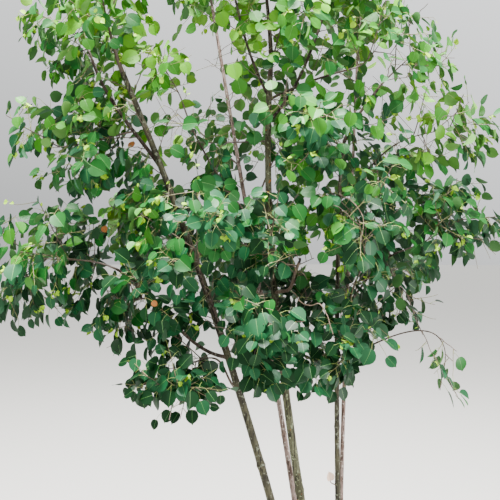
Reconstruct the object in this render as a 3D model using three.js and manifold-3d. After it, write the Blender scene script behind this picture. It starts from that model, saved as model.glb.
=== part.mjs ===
// A young poplar that grows as a clump: five slender stems rise from one root crown, fork into
// boughs, and carry separate masses of twigs and leaves. Millimetres, +Z up. The origin is on the
// flat cut at ground level, in the middle of the root crown. -Y is the front, +X the right.
import * as THREE from "three";
import { mergeVertices } from "three/addons/utils/BufferGeometryUtils.js";
import Module from "manifold-3d";

const wasm = await Module();
wasm.setup();

// Driving dimensions
const GAP = 0.35; // air between pieces that touch on the real tree
const CROWN_HEIGHT = 95; // the stems part from the root crown at about this height
const BURL = [66, 58, 44]; // half sizes of the knot of wood that joins its lobes
const FLARE = 0.8; // how much wider than its stem each lobe is at the ground
const FLARE_HEIGHT = 26; // the flare fades by a factor e in this height
const BURIED = 25; // a stem's curve starts this far below the flat cut

// The rule by which a mass grows: lengths, and shares of a stem or twig counted from its foot
const STEM_FOOT = 3.6; // radius of a mass's own stem where it leaves the side of a limb
const MIDDLE = 0.6; // share of its stem at which the middle of a mass's space lies
const TWIG_FOOT = 2.4; // radius
const TWIG_TIP = 1.7;
const TWIGS_FROM = 0.16; // share of the stem that bears no twigs
const TWIG_ANGLES = [1.2, 0.7]; // radians between twig and stem, at the stem's foot and tip
const TWIG_REACH = [0.65, 0.9]; // share of the mass's spread
const LEAF_LENGTH = 150; // one leaf here stands for a spray of real ones, each about 50 long
const LEAF_WIDTH = 130;
const LEAF_THICKNESS = 3.6;
const LEAF_WIDEST = 0.4; // share of its length at which a leaf is widest
const LEAF_SIZES = [0.75, 1.05]; // the smallest and the largest, as shares of that length
const LEAVES_TO = 0.95; // share of a twig at which its last leaf stands
const LEAVES_OVER = 0.7; // share of it over which they are spread
const LEAF_LEAN = 0.35; // how far a leaf leans along its twig, and how far it droops
const CROWN_MIDDLE = [-240, 50]; // on the plan: leaves face away from here
const SPACE_MARGIN = 2.5; // a mass keeps this far inside its own space
const LIMB_MARGIN = 2.5; // and its leaves this far from every limb
const TWIG_MARGIN = 8; // and its twigs' middles this far
const TIP_SPACING = 60; // tips of two leaves of one mass are no closer than this
const LEAF_FREE = 24; // a leaf may touch its own twig only this near its root
const OVAL_MIDDLE = 0.48; // a leaf is tested as an oval, with its middle at this share of its length
const OVAL_HALF = 0.52; // half the oval's length, as a share of the leaf's
const OVAL_ROOM = 1.15; // two leaves cross where an edge of one passes this near to the other's oval
const LEAF_DEPTH = 13; // room taken by a leaf to each side of its own plane
const TRIES = 12; // ways in which a twig or leaf is tried before it is skipped
const SHRINK = 0.06; // a twig is tried this much shorter each time
const GOLDEN_ANGLE = 2.39996; // radians between one twig and the next
const FIRST_SEED = 211; // of the first mass; each further one's is this much higher
const SEED_STEP = 17;

// Facets
const STEM_FACETS = { sides: 8, steps: 10 };
const BOUGH_FACETS = { sides: 6, steps: 4 };
const MASS_FACETS = { sides: 3, steps: 3 };
const TWIG_FACETS = { sides: 3, steps: 1 };
const BEAD_PITCH = 12; // a limb is tested against leaves at points this far apart
const FINEST = 0.05; // joints between pieces leave no edge shorter than this

const { lerp, clamp } = THREE.MathUtils;
const UP = new THREE.Vector3(0, 0, 1);
const vec = (x, y, z) => new THREE.Vector3(x, y, z);
const along = (v) => vec(...v).normalize();

// The five stems: where each leaves the ground, its tip, its lean at the ground and at the tip as a
// run for each unit of rise, and its diameters at the ground and at the tip.
const STEMS = {
  stem_left: {
    foot: [-25, -26], tip: [-663, -180, 2080], wide: [31, 17],
    lean: [-0.22, -0.05], end: [-0.42, -0.08],
  },
  stem_pale: {
    foot: [-20, 42], tip: [-408, 265, 2420], wide: [22, 11], pale: true,
    lean: [-0.13, 0.06], end: [-0.165, 0.1],
  },
  stem_centre: {
    foot: [6, -4], tip: [-203, 10, 2110], wide: [32, 19],
    lean: [-0.135, 0], end: [0.06, 0.02],
  },
  stem_right: {
    foot: [36, -34], tip: [24, -80, 1830], wide: [22, 12],
    lean: [-0.03, -0.03], end: [0.04, -0.02],
  },
  stem_thin: {
    foot: [34, 38], tip: [120, 235, 2250], wide: [18, 9], pale: true,
    lean: [0, 0.1], end: [0.05, 0.08],
  },
};

// Boughs and leaders: the limb they grow from, how far along it, the diameters of foot and tip, the
// tip, and the directions in which they leave and end.
const BOUGHS = {
  leader_left: {
    on: "stem_left", at: 0.86, wide: [13, 9],
    tip: [-770, -130, 2139], leave: [-0.6, 0.2, 0.8], end: [-0.3, 0, 0.95],
  },
  bough_left: {
    on: "stem_left", at: 0.57, wide: [12, 8],
    tip: [-682, -200, 1476], leave: [-0.75, -0.2, 0.1], end: [-0.85, -0.1, 0.45],
  },
  bough_left_low: {
    on: "stem_left", at: 0.52, wide: [8, 6],
    tip: [-390, -150, 1195], leave: [-0.8, -0.25, 0.4], end: [-0.95, -0.15, 0.1],
  },
  bough_left_inner: {
    on: "stem_left", at: 0.6, wide: [9, 6],
    tip: [-425, -200, 1470], leave: [0.1, -0.7, 0.7], end: [-0.1, -0.5, 0.85],
  },
  bough_back_left: {
    on: "stem_pale", at: 0.52, wide: [9, 6],
    tip: [-480, 300, 1520], leave: [-0.7, 0.4, 0.6], end: [-0.8, 0.4, 0.4],
  },
  bough_back: {
    on: "stem_pale", at: 0.68, wide: [9, 6],
    tip: [-190, 330, 1850], leave: [0.3, 0.7, 0.65], end: [0.3, 0.6, 0.7],
  },
  bough_back_low: {
    on: "stem_pale", at: 0.46, wide: [8, 6],
    tip: [-220, 280, 1320], leave: [0.1, 0.8, 0.6], end: [0, 0.9, 0.4],
  },
  bough_open: {
    on: "stem_centre", at: 0.74, wide: [7, 5],
    tip: [-487, -70, 2007], leave: [-0.6, -0.2, 0.7], end: [-0.3, 0, 0.95],
  },
  bough_front: {
    on: "stem_centre", at: 0.52, wide: [9, 6],
    tip: [-215, -160, 1290], leave: [-0.2, -0.8, 0.6], end: [-0.2, -0.95, 0.1],
  },
  leader_centre: {
    on: "stem_centre", at: 1, wide: [17, 9],
    tip: [-222, -10, 2470], leave: [0.09, 0.02, 1], end: [-0.03, 0, 1],
  },
  leader_centre_left: {
    on: "stem_centre", at: 0.97, wide: [10, 7],
    tip: [-328, -70, 2390], leave: [-0.5, -0.15, 0.8], end: [-0.22, -0.03, 0.95],
  },
  leader_centre_right: {
    on: "stem_centre", at: 0.93, wide: [11, 8],
    tip: [-26, 0, 2310], leave: [0.6, 0.15, 0.6], end: [0.32, 0, 0.95],
  },
  bough_centre_right: {
    on: "stem_centre", at: 0.965, wide: [9, 6],
    tip: [52, -110, 2110], leave: [0.85, -0.45, 0.35], end: [0.95, -0.1, 0.2],
  },
  bough_right_low: {
    on: "stem_right", at: 0.7, wide: [8, 6],
    tip: [70, -170, 1460], leave: [0.3, -0.6, 0.75], end: [0.3, -0.5, 0.8],
  },
  leader_right: {
    on: "stem_right", at: 1, wide: [12, 8],
    tip: [140, -110, 2050], leave: [0.04, -0.02, 1], end: [0.6, -0.1, 0.8],
  },
  bough_right: {
    on: "stem_thin", at: 0.6, wide: [9, 6],
    tip: [240, 20, 1530], leave: [0.6, -0.4, 0.7], end: [0.85, -0.3, 0.3],
  },
  bough_right_high: {
    on: "stem_thin", at: 0.78, wide: [8, 5],
    tip: [240, 60, 1900], leave: [0.6, -0.5, 0.7], end: [0.8, -0.4, 0.4],
  },
  bough_back_right: {
    on: "stem_thin", at: 0.55, wide: [8, 6],
    tip: [140, 285, 1430], leave: [0.2, 0.7, 0.6], end: [0.4, 0.8, 0.4],
  },
  twig_drooping: {
    on: "stem_right", at: 0.64, wide: [6, 3.6],
    tip: [349, -100, 1232], leave: [0.8, -0.1, 0.5], end: [0.4, 0, -0.9],
  },
};

// Masses of foliage: the limb that each grows from and how far along it, the tip of its own stem,
// how far its twigs spread, and how many twigs, and leaves on each, it may have.
const MASSES = {
  foliage_top: {
    on: "leader_centre", at: 1, tip: [-210, -15, 2800],
    spread: 240, twigs: 4, leaves: 5,
  },
  foliage_top_left: {
    on: "leader_centre_left", at: 1, tip: [-400, -95, 2580],
    spread: 210, twigs: 3, leaves: 5,
  },
  foliage_top_right: {
    on: "leader_centre_right", at: 1, tip: [40, -60, 2570],
    spread: 230, twigs: 4, leaves: 4,
  },
  foliage_pale_top: {
    on: "stem_pale", at: 1, tip: [-460, 310, 2660],
    spread: 210, twigs: 3, leaves: 5,
  },
  foliage_left_top: {
    on: "stem_left", at: 1, tip: [-725, -230, 2330],
    spread: 230, twigs: 4, leaves: 5,
  },
  foliage_left_fork: {
    on: "leader_left", at: 1, tip: [-860, -90, 2270],
    spread: 210, twigs: 4, leaves: 4,
  },
  foliage_left_high: {
    on: "leader_left", at: 0.35, tip: [-880, -190, 1850],
    spread: 260, twigs: 5, leaves: 5,
  },
  foliage_open: {
    on: "bough_open", at: 1, tip: [-560, -90, 2150],
    spread: 170, twigs: 2, leaves: 3,
  },
  foliage_level: {
    on: "stem_centre", at: 0.9, tip: [-470, -40, 1890],
    spread: 190, twigs: 3, leaves: 3,
  },
  foliage_left: {
    on: "bough_left", at: 1, tip: [-980, -170, 1520],
    spread: 280, twigs: 5, leaves: 5,
  },
  foliage_left_under: {
    on: "bough_left", at: 0.7, tip: [-720, -110, 1370],
    spread: 230, twigs: 4, leaves: 5,
  },
  foliage_left_mid: {
    on: "stem_left", at: 0.74, tip: [-680, -20, 1660],
    spread: 230, twigs: 4, leaves: 5,
  },
  foliage_left_inner: {
    on: "bough_left_inner", at: 1, tip: [-430, -290, 1640],
    spread: 240, twigs: 4, leaves: 5,
  },
  foliage_left_low: {
    on: "bough_left_low", at: 1, tip: [-504, -222, 1163],
    spread: 250, twigs: 5, leaves: 5,
  },
  foliage_centre: {
    on: "stem_centre", at: 0.68, tip: [-210, -260, 1600],
    spread: 230, twigs: 4, leaves: 5,
  },
  foliage_front: {
    on: "bough_front", at: 1, tip: [-250, -290, 1290],
    spread: 220, twigs: 4, leaves: 5,
  },
  foliage_right_inner: {
    on: "stem_centre", at: 0.6, tip: [-70, -70, 1400],
    spread: 230, twigs: 4, leaves: 5,
  },
  foliage_right_low: {
    on: "stem_right", at: 0.64, tip: [0, -240, 1290],
    spread: 250, twigs: 5, leaves: 5,
  },
  foliage_right_mid: {
    on: "bough_right_low", at: 1, tip: [90, -190, 1660],
    spread: 250, twigs: 5, leaves: 5,
  },
  foliage_right: {
    on: "bough_right", at: 1, tip: [440, -60, 1650],
    spread: 250, twigs: 5, leaves: 5,
  },
  foliage_right_high: {
    on: "bough_right_high", at: 1, tip: [400, -70, 1940],
    spread: 230, twigs: 4, leaves: 5,
  },
  foliage_right_under: {
    on: "bough_right", at: 0.75, tip: [250, -100, 1370],
    spread: 220, twigs: 3, leaves: 4,
  },
  foliage_centre_right: {
    on: "leader_right", at: 0.15, tip: [-130, -210, 1930],
    spread: 220, twigs: 4, leaves: 5,
  },
  foliage_upper_right: {
    on: "bough_centre_right", at: 1, tip: [170, -60, 2230],
    spread: 210, twigs: 4, leaves: 4,
  },
  foliage_leader_right: {
    on: "leader_right", at: 1, tip: [250, -150, 2160],
    spread: 220, twigs: 4, leaves: 4,
  },
  foliage_thin_top: {
    on: "stem_thin", at: 1, tip: [150, 280, 2490],
    spread: 210, twigs: 3, leaves: 5,
  },
  foliage_back_left: {
    on: "bough_back_left", at: 1, tip: [-690, 330, 1640],
    spread: 250, twigs: 4, leaves: 5,
  },
  foliage_back_high: {
    on: "stem_pale", at: 0.76, tip: [-500, 340, 2020],
    spread: 230, twigs: 4, leaves: 4,
  },
  foliage_back: {
    on: "bough_back", at: 1, tip: [-110, 420, 2000],
    spread: 230, twigs: 4, leaves: 4,
  },
  foliage_back_low: {
    on: "bough_back_low", at: 1, tip: [-260, 450, 1400],
    spread: 240, twigs: 4, leaves: 5,
  },
  foliage_back_right: {
    on: "bough_back_right", at: 1, tip: [250, 400, 1540],
    spread: 250, twigs: 4, leaves: 5,
  },
  foliage_back_right_high: {
    on: "stem_thin", at: 0.78, tip: [300, 330, 1900],
    spread: 210, twigs: 3, leaves: 4,
  },
  foliage_drooping: {
    on: "twig_drooping", at: 1, tip: [338, -105, 1085],
    spread: 130, twigs: 2, leaves: 3,
  },
  foliage_top_centre: {
    on: "leader_centre", at: 0.1, tip: [-150, -150, 2330],
    spread: 200, twigs: 4, leaves: 5,
  },
};

// Draws numbers from 0 to 1, the same ones for the same seed.
function seeded(seed) {
  let state = seed >>> 0;
  return () => {
    state = (state + 0x6d2b79f5) >>> 0;
    let t = Math.imul(state ^ (state >>> 15), state | 1);
    t ^= t + Math.imul(t ^ (t >>> 7), t | 61);
    return ((t ^ (t >>> 14)) >>> 0) / 4294967296;
  };
}

// A cubic curve that leaves and ends in the given directions.
function sweep(start, leave, tip, end) {
  const handle = start.distanceTo(tip) / 3;
  const first = start.clone().addScaledVector(leave, handle);
  const second = tip.clone().addScaledVector(end, -handle);
  return new THREE.CubicBezierCurve3(start, first, second, tip);
}

// Two directions square to a tangent, the first as near as it can be to a reference axis.
function squareTo(tangent, reference) {
  const side = reference.clone().addScaledVector(tangent, -reference.dot(tangent)).normalize();
  return [side, tangent.clone().cross(side)];
}

// The axis that a curve runs least along, so that no section of it turns over.
function referenceFor(curve) {
  const run = curve.getPoint(1).sub(curve.getPoint(0));
  const sizes = [Math.abs(run.x), Math.abs(run.y), Math.abs(run.z)];
  return vec(0, 0, 0).setComponent(sizes.indexOf(Math.min(...sizes)), 1);
}

// A closed tapering limb: a cylinder whose rings are carried onto the limb's curve. More is added to
// its radius to cut room for it.
function limbGeometry(limb, more = 0) {
  const { curve, radiusAt, sides, steps, from = 0 } = limb;
  const geometry = new THREE.CylinderGeometry(1, 1, 1, sides, steps);
  const place = geometry.attributes.position;
  const reference = referenceFor(curve);
  for (let i = 0; i < place.count; i++) {
    const share = lerp(from, limb.to ?? 1, place.getY(i) + 0.5);
    const [side, other] = squareTo(curve.getTangent(share), reference);
    const radius = radiusAt(share) + more;
    const at = curve.getPoint(share);
    at.addScaledVector(side, place.getX(i) * radius);
    at.addScaledVector(other, -place.getZ(i) * radius);
    place.setXYZ(i, at.x, at.y, at.z);
  }
  return geometry;
}

// The rim of a broad leaf: root, one side, tip, other side. The sides stand a little above the midrib,
// so that the four points span a solid of four faces.
function rimOf({ base, rib, side, face, size }) {
  const at = (u, v, w) =>
    base.clone().addScaledVector(rib, u).addScaledVector(side, v).addScaledVector(face, w);
  const half = halfWidth(size);
  const widest = size * LEAF_WIDEST;
  return [at(0, 0, 0), at(widest, half, LEAF_THICKNESS), at(size, 0, 0), at(widest, -half, LEAF_THICKNESS)];
}

const halfWidth = (size) => (size * LEAF_WIDTH) / LEAF_LENGTH / 2;

function leafGeometry(leaf) {
  const geometry = new THREE.BufferGeometry().setFromPoints(rimOf(leaf));
  return geometry.setIndex([0, 1, 2, 0, 2, 3, 0, 3, 1, 1, 3, 2]);
}

// Geometry to a solid that can be joined and cut, and back.
function solid(geometry) {
  const plain = geometry.clone();
  plain.deleteAttribute("normal");
  plain.deleteAttribute("uv");
  const merged = mergeVertices(plain, 1e-3);
  return new wasm.Manifold(
    new wasm.Mesh({
      numProp: 3,
      vertProperties: new Float32Array(merged.attributes.position.array),
      triVerts: new Uint32Array(merged.index.array),
    }),
  );
}

function geometryOf(made) {
  const mesh = made.getMesh();
  const geometry = new THREE.BufferGeometry();
  geometry.setAttribute("position", new THREE.BufferAttribute(mesh.vertProperties, 3));
  geometry.setIndex(new THREE.BufferAttribute(mesh.triVerts, 1));
  geometry.computeVertexNormals();
  return geometry;
}

// One closed body: sealed hollows are filled and loose scraps are dropped.
function onePiece(made) {
  const bodies = made.decompose().filter((body) => body.volume() > 0);
  return bodies.sort((a, b) => b.volume() - a.volume())[0];
}

const BARK = new THREE.MeshStandardMaterial({ color: 0x7d7664, roughness: 0.85, metalness: 0 });
const PALE_BARK = new THREE.MeshStandardMaterial({ color: 0xa89a8c, roughness: 0.8, metalness: 0 });
const FOLIAGE = new THREE.MeshStandardMaterial({ color: 0x2f6b35, roughness: 0.55, metalness: 0 });

const tree = new THREE.Group();
const limbs = new Map(); // name to { curve, radiusAt, sides, steps, from }

// The solid is made once more from its own mesh, as the mesh's 32-bit numbers hold it.
function addMesh(name, made, material) {
  const stored = onePiece(solid(geometryOf(made.simplify(FINEST))));
  const mesh = new THREE.Mesh(geometryOf(stored), material);
  mesh.name = name;
  tree.add(mesh);
}

// Stems and the root crown

const taper = ([foot, tip]) => (share) => lerp(foot, tip, share) / 2;

// A stem's curve starts below the ground, so that the flat cut crosses all of it.
function stemLimb(row) {
  const leave = along([...row.lean, 1]);
  const foot = vec(...row.foot, 0).addScaledVector(leave, -BURIED);
  const curve = sweep(foot, leave, vec(...row.tip), along([...row.end, 1]));
  const from = (BURIED + CROWN_HEIGHT + GAP) / curve.getLength();
  return { curve, radiusAt: taper(row.wide), ...STEM_FACETS, from };
}

// One flared lobe of the root crown for each stem, joined by a burl and cut flat at the ground.
function rootCrown(stems) {
  const burl = solid(new THREE.SphereGeometry(1, 14, 8).rotateX(Math.PI / 2).scale(...BURL));
  const lobes = stems.map((stem) => {
    const length = stem.curve.getLength();
    const flare = (share) => 1 + FLARE * Math.exp((BURIED - share * length) / FLARE_HEIGHT);
    const radiusAt = (share) => stem.radiusAt(share) * flare(share);
    return solid(limbGeometry({ ...stem, radiusAt, steps: 6, from: 0, to: stem.from - GAP / length }));
  });
  const soil = new THREE.BoxGeometry(600, 600, 200).translate(0, 0, -100);
  return onePiece(lobes.reduce((joined, lobe) => joined.add(lobe), burl).subtract(solid(soil)));
}

for (const [name, row] of Object.entries(STEMS)) limbs.set(name, stemLimb(row));
addMesh("root_crown", rootCrown([...limbs.values()]), BARK);
for (const [name, row] of Object.entries(STEMS)) {
  addMesh(name, solid(limbGeometry(limbs.get(name))), row.pale ? PALE_BARK : BARK);
}

// Boughs. One that grows from a limb's tip starts just clear of it. Any other starts at the middle
// of its limb and is cut clear of it.

function footOf(row) {
  const limb = limbs.get(row.on);
  const start = limb.curve.getPoint(row.at);
  if (row.at === 1) start.addScaledVector(limb.curve.getTangent(1), GAP);
  return start;
}

function clearOfLimb(made, row) {
  if (row.at === 1) return made;
  return onePiece(made.subtract(solid(limbGeometry(limbs.get(row.on), GAP))));
}

for (const [name, row] of Object.entries(BOUGHS)) {
  const curve = sweep(footOf(row), along(row.leave), vec(...row.tip), along(row.end));
  const bough = { curve, radiusAt: taper(row.wide), ...BOUGH_FACETS };
  limbs.set(name, bough);
  addMesh(name, clearOfLimb(solid(limbGeometry(bough)), row), BARK);
}

// Foliage. Each mass has a space of its own: the points that lie nearer to its middle than to any
// other mass's, allowing for their spreads, and no further from its middle than its spread.

function massStem(row) {
  const host = limbs.get(row.on);
  const start = footOf(row);
  const tip = vec(...row.tip);
  const straight = tip.clone().sub(start).normalize();
  const leave = row.at === 1 ? host.curve.getTangent(1) : straight;
  const end = straight.clone().addScaledVector(UP, 0.15).normalize();
  const curve = sweep(start, leave, tip, end);
  const foot = row.at === 1 ? host.radiusAt(1) * 0.95 : STEM_FOOT;
  const radiusAt = (share) => lerp(foot, TWIG_TIP, share);
  return { curve, radiusAt, ...MASS_FACETS, middle: curve.getPoint(MIDDLE), spread: row.spread };
}

const stems = new Map(Object.entries(MASSES).map(([name, row]) => [name, massStem(row)]));

// How far a point lies on a mass's own side of the plane between it and another.
function inside(point, mine, other) {
  const apart = other.middle.clone().sub(mine.middle);
  const span = apart.length();
  const split = (span ** 2 + mine.spread ** 2 - other.spread ** 2) / (2 * span);
  return split - point.clone().sub(mine.middle).dot(apart) / span;
}

function inSpace(point, mine) {
  if (point.distanceTo(mine.middle) > mine.spread - SPACE_MARGIN) return false;
  return [...stems.values()].every((other) => other === mine || inside(point, mine, other) > SPACE_MARGIN);
}

// Points along a limb, with its radius there.
function beads(limb) {
  const count = Math.ceil(limb.curve.getLength() / BEAD_PITCH);
  return Array.from({ length: count + 1 }, (_, i) => {
    const share = i / count;
    return { at: limb.curve.getPoint(share), radius: limb.radiusAt(share) };
  });
}

// The beads of every limb and of the other masses' stems, as far as they lie near a mass.
const limbBeads = [...limbs.values()].flatMap(beads);

function beadsAround(name) {
  const mine = stems.get(name);
  const others = [...stems].filter(([other]) => other !== name).flatMap(([, stem]) => beads(stem));
  const near = (bead) => bead.at.distanceTo(mine.middle) < mine.spread + LEAF_LENGTH;
  return [...limbBeads, ...others].filter(near);
}

// A direction turned away from a curve's own by an angle, after a turn about it.
function awayFrom(curve, share, turn, angle) {
  const tangent = curve.getTangent(share);
  const [side, other] = squareTo(tangent, referenceFor(curve));
  const out = side.multiplyScalar(Math.cos(turn)).addScaledVector(other, Math.sin(turn));
  return tangent.multiplyScalar(Math.cos(angle)).addScaledVector(out, Math.sin(angle));
}

// A twig leaves the mass's stem at an angle, lifted a little towards the light.
function twigCurve(stem, share, turn, angle, reach) {
  const start = stem.curve.getPoint(share);
  const leave = awayFrom(stem.curve, share, turn, angle).addScaledVector(UP, 0.1).normalize();
  return sweep(start, leave, start.clone().addScaledVector(leave, reach), leave);
}

// A leaf hangs out to one side of its twig, its upper face turned to the light and outwards.
function leafOn(curve, share, turn, size, tilt) {
  const tangent = curve.getTangent(share);
  const rib = awayFrom(curve, share, turn, Math.PI / 2);
  rib.addScaledVector(tangent, LEAF_LEAN).addScaledVector(UP, -LEAF_LEAN).normalize();
  const base = curve.getPoint(share).addScaledVector(rib, -TWIG_TIP * 0.4);
  const outward = vec(base.x - CROWN_MIDDLE[0], base.y - CROWN_MIDDLE[1], 0).normalize();
  const light = outward.addScaledVector(UP, tilt).addScaledVector(tangent, 0.3).normalize();
  const [face] = squareTo(rib, light);
  return { base, rib, side: face.clone().cross(rib), face, size };
}

// A bead touches a leaf if it lies near the leaf's plane and within its outline.
function leafClear(leaf, around) {
  const middle = leaf.base.clone().addScaledVector(leaf.rib, leaf.size * OVAL_MIDDLE);
  return around.every((bead) => {
    const off = bead.at.clone().sub(middle);
    const room = bead.radius + LIMB_MARGIN;
    if (Math.abs(off.dot(leaf.face)) > room + LEAF_DEPTH) return true;
    const u = off.dot(leaf.rib) / (leaf.size * OVAL_HALF + room);
    const v = off.dot(leaf.side) / (halfWidth(leaf.size) + room);
    return Math.hypot(u, v) > 1;
  });
}

// Whether an edge of one leaf passes through another.
function crosses(edged, plane) {
  const local = rimOf(edged).map((p) => {
    const off = p.sub(plane.base);
    const across = off.dot(plane.side) / halfWidth(plane.size);
    return vec(off.dot(plane.rib) / plane.size - OVAL_MIDDLE, across, off.dot(plane.face));
  });
  return local.some((p, i) => {
    const q = local[(i + 1) % 4];
    if (p.z * q.z > 0 && Math.min(Math.abs(p.z), Math.abs(q.z)) > LEAF_THICKNESS) return false;
    const at = p.clone().lerp(q, clamp(p.z / (p.z - q.z), 0, 1));
    return Math.hypot(at.x / OVAL_HALF, at.y) < OVAL_ROOM;
  });
}

function leafFits(leaf, mass) {
  const rim = rimOf(leaf);
  const twigs = mass.twigs.filter((bead) => bead.at.distanceTo(leaf.base) > LEAF_FREE);
  return (
    rim.slice(1).every((p) => inSpace(p, mass.stem)) &&
    leafClear(leaf, mass.around) &&
    leafClear(leaf, twigs) &&
    mass.leaves.every((other) => !crosses(leaf, other) && !crosses(other, leaf)) &&
    mass.leaves.every((other) => rimOf(other)[2].distanceTo(rim[2]) > TIP_SPACING)
  );
}

function twigFits(curve, mass) {
  const points = [0.35, 0.6, 0.8, 1].map((share) => curve.getPoint(share));
  const own = beads({ curve, radiusAt: () => TWIG_FOOT });
  return (
    inSpace(curve.getPoint(1), mass.stem) &&
    mass.around.every((bead) => points.every((p) => p.distanceTo(bead.at) > bead.radius + TWIG_MARGIN)) &&
    mass.leaves.every((leaf) => leafClear(leaf, own))
  );
}

// The first of a number of tries that fits, or nothing.
function firstFit(make, fits) {
  for (let i = 0; i < TRIES; i++) {
    const made = make(i);
    if (fits(made)) return made;
  }
}

function bearLeaf(mass, curve, share) {
  const turn = mass.draw() * 2 * Math.PI;
  const size = LEAF_LENGTH * lerp(...LEAF_SIZES, mass.draw());
  const tilt = 0.4 + 0.8 * mass.draw();
  const leaf = firstFit(
    (i) => leafOn(curve, share, turn + i * GOLDEN_ANGLE, size, tilt),
    (made) => leafFits(made, mass),
  );
  if (!leaf) return;
  mass.leaves.push(leaf);
  mass.pieces.push(solid(leafGeometry(leaf)));
}

function bearTwig(mass, row, order) {
  const { stem, draw } = mass;
  const share = TWIGS_FROM + ((1 - TWIGS_FROM) * (order + draw() * 0.5)) / row.twigs;
  const turn = order * GOLDEN_ANGLE + draw() * 0.7;
  const angle = lerp(...TWIG_ANGLES, share) + (draw() - 0.5) * 0.3;
  const reach = row.spread * lerp(...TWIG_REACH, draw());
  const curve = firstFit(
    (i) => twigCurve(stem, share, turn, angle, reach * (1 - i * SHRINK)),
    (made) => twigFits(made, mass),
  );
  if (!curve) return;
  const twig = { curve, radiusAt: (s) => lerp(TWIG_FOOT, TWIG_TIP, s), ...TWIG_FACETS };
  mass.pieces.push(solid(limbGeometry(twig)));
  mass.twigs.push(...beads(twig));
  bearLeaves(mass, curve, row.leaves);
}

function bearLeaves(mass, curve, count) {
  for (let i = 0; i < count; i++) bearLeaf(mass, curve, LEAVES_TO - (LEAVES_OVER * i) / count);
}

function growMass(name, row, seed) {
  const stem = stems.get(name);
  const mass = { stem, draw: seeded(seed), around: beadsAround(name), twigs: beads(stem), leaves: [] };
  mass.pieces = [solid(limbGeometry(stem))];
  for (let order = 0; order < row.twigs; order++) bearTwig(mass, row, order);
  bearLeaves(mass, stem.curve, row.leaves);
  return clearOfLimb(mass.pieces.reduce((all, piece) => all.add(piece)), row);
}

Object.entries(MASSES).forEach(([name, row], index) => {
  addMesh(name, growMass(name, row, FIRST_SEED + index * SEED_STEP), FOLIAGE);
});

export default tree;
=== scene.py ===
"""A young poplar that grows as a clump. Relief bark covers its root crown, stems and boughs. Its masses
of foliage grow by the same seeded rule as their solids, carried on to finer twigs with real leaves."""

import functools
import itertools
import math
import operator
from types import SimpleNamespace

import bmesh
import bpy
import numpy as np
from mathutils import Matrix


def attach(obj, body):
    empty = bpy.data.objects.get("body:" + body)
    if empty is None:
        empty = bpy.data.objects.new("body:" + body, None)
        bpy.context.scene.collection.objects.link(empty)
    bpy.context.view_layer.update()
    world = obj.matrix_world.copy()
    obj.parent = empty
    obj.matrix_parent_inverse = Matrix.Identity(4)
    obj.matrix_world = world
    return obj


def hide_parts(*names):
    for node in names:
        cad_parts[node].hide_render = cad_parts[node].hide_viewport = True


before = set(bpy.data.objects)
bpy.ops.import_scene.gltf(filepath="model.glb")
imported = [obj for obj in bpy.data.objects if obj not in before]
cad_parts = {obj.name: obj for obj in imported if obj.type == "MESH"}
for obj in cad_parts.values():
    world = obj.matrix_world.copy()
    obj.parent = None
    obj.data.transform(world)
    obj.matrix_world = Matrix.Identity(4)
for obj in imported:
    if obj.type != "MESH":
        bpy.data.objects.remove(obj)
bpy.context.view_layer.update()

bl_info = {
    "name": "Young Clump Poplar",
    "version": (1, 0, 0),
    "blender": (4, 5, 0),
    "location": "3D View > Sidebar > Poplar",
    "description": "Grows the bark, twigs and leaves of a young poplar around its solids",
    "category": "Object",
}

MM = 0.001  # the rule works in millimetres and the meshes are in metres
UP = np.array([0.0, 0.0, 1.0])
GOLDEN_ANGLE = 2.39996
LENGTH_SAMPLES = 201  # points at which a curve's length is measured

# The rule's driving dimensions, as in the solids
CROWN_HEIGHT = 95  # the stems part from the root crown at about this height
BURL = (66, 58, 44)  # half sizes of the knot of wood that joins its lobes
FLARE = 0.8  # how much thicker a stem gets towards the ground, as a share
FLARE_HEIGHT = 26  # the height over which that fades
BURIED = 25  # how far below the ground a stem's curve starts
GAP = 0.35  # between the end of one solid and the foot of the next
STEM_FOOT = 3.6  # radius of a mass's stem at the side of a limb
STEM_SHARE = 0.95  # its radius at the end of a limb, as a share of the limb's
STEM_RISE = 0.15  # how far a mass's stem turns up at its end
MIDDLE = 0.6  # the share of its stem at which a mass has its middle
TWIG_FOOT = 2.4  # radius of a twig at its foot
TWIG_TIP = 1.7  # and at its tip
TWIGS_FROM = 0.16  # the share of a stem at which its twigs begin
TWIG_ANGLES = (1.2, 0.7)  # between twig and stem in radians, at the stem's foot and at its tip
TWIG_REACH = (0.65, 0.9)  # shares of the mass's spread
TWIG_RISE = 0.1  # how far a twig turns up where it leaves
TWIG_CHECKS = (0.35, 0.6, 0.8, 1)  # the shares of a twig at which it has to be clear of limbs
PLACE_PLAY = 0.5  # how far chance moves a twig along its stem, as a share of their spacing,
TURN_PLAY = 0.7  # about it,
ANGLE_PLAY = 0.3  # and away from it, in radians
SPRAY_LENGTH = 150  # of the broad leaf that stands for a spray in the solids
SPRAY_WIDTH = 130
SPRAY_THICKNESS = 3.6
SPRAY_WIDEST = 0.4  # the share of its length at which it is widest
SPRAY_SIZES = (0.75, 1.05)  # shares of the length above
SPRAYS_TO = 0.95  # the share of a twig at which its last spray stands
SPRAYS_OVER = 0.7  # the share of a twig along which its sprays stand
SPRAY_LEAN = 0.35  # how far a spray leans forwards, and down
SPRAY_SUNK = 0.4  # how deep its base lies in its twig, as a share of the twig's radius
SPRAY_FORWARDS = 0.3  # how far its face turns forwards
SPRAY_TILT = 0.4  # how far it turns up at least,
TILT_PLAY = 0.8  # and how much further by chance
CROWN_MIDDLE = np.array([-240.0, 50.0, 0.0])
SPACE_MARGIN = 2.5  # between a mass and the edge of its space
LIMB_MARGIN = 2.5  # between a spray and a limb
TWIG_MARGIN = 8  # between a twig and a limb
TIP_SPACING = 60  # between the tips of two sprays
SPRAY_FREE = 24  # closer than this to its base, a spray's own twig may touch it
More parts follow.
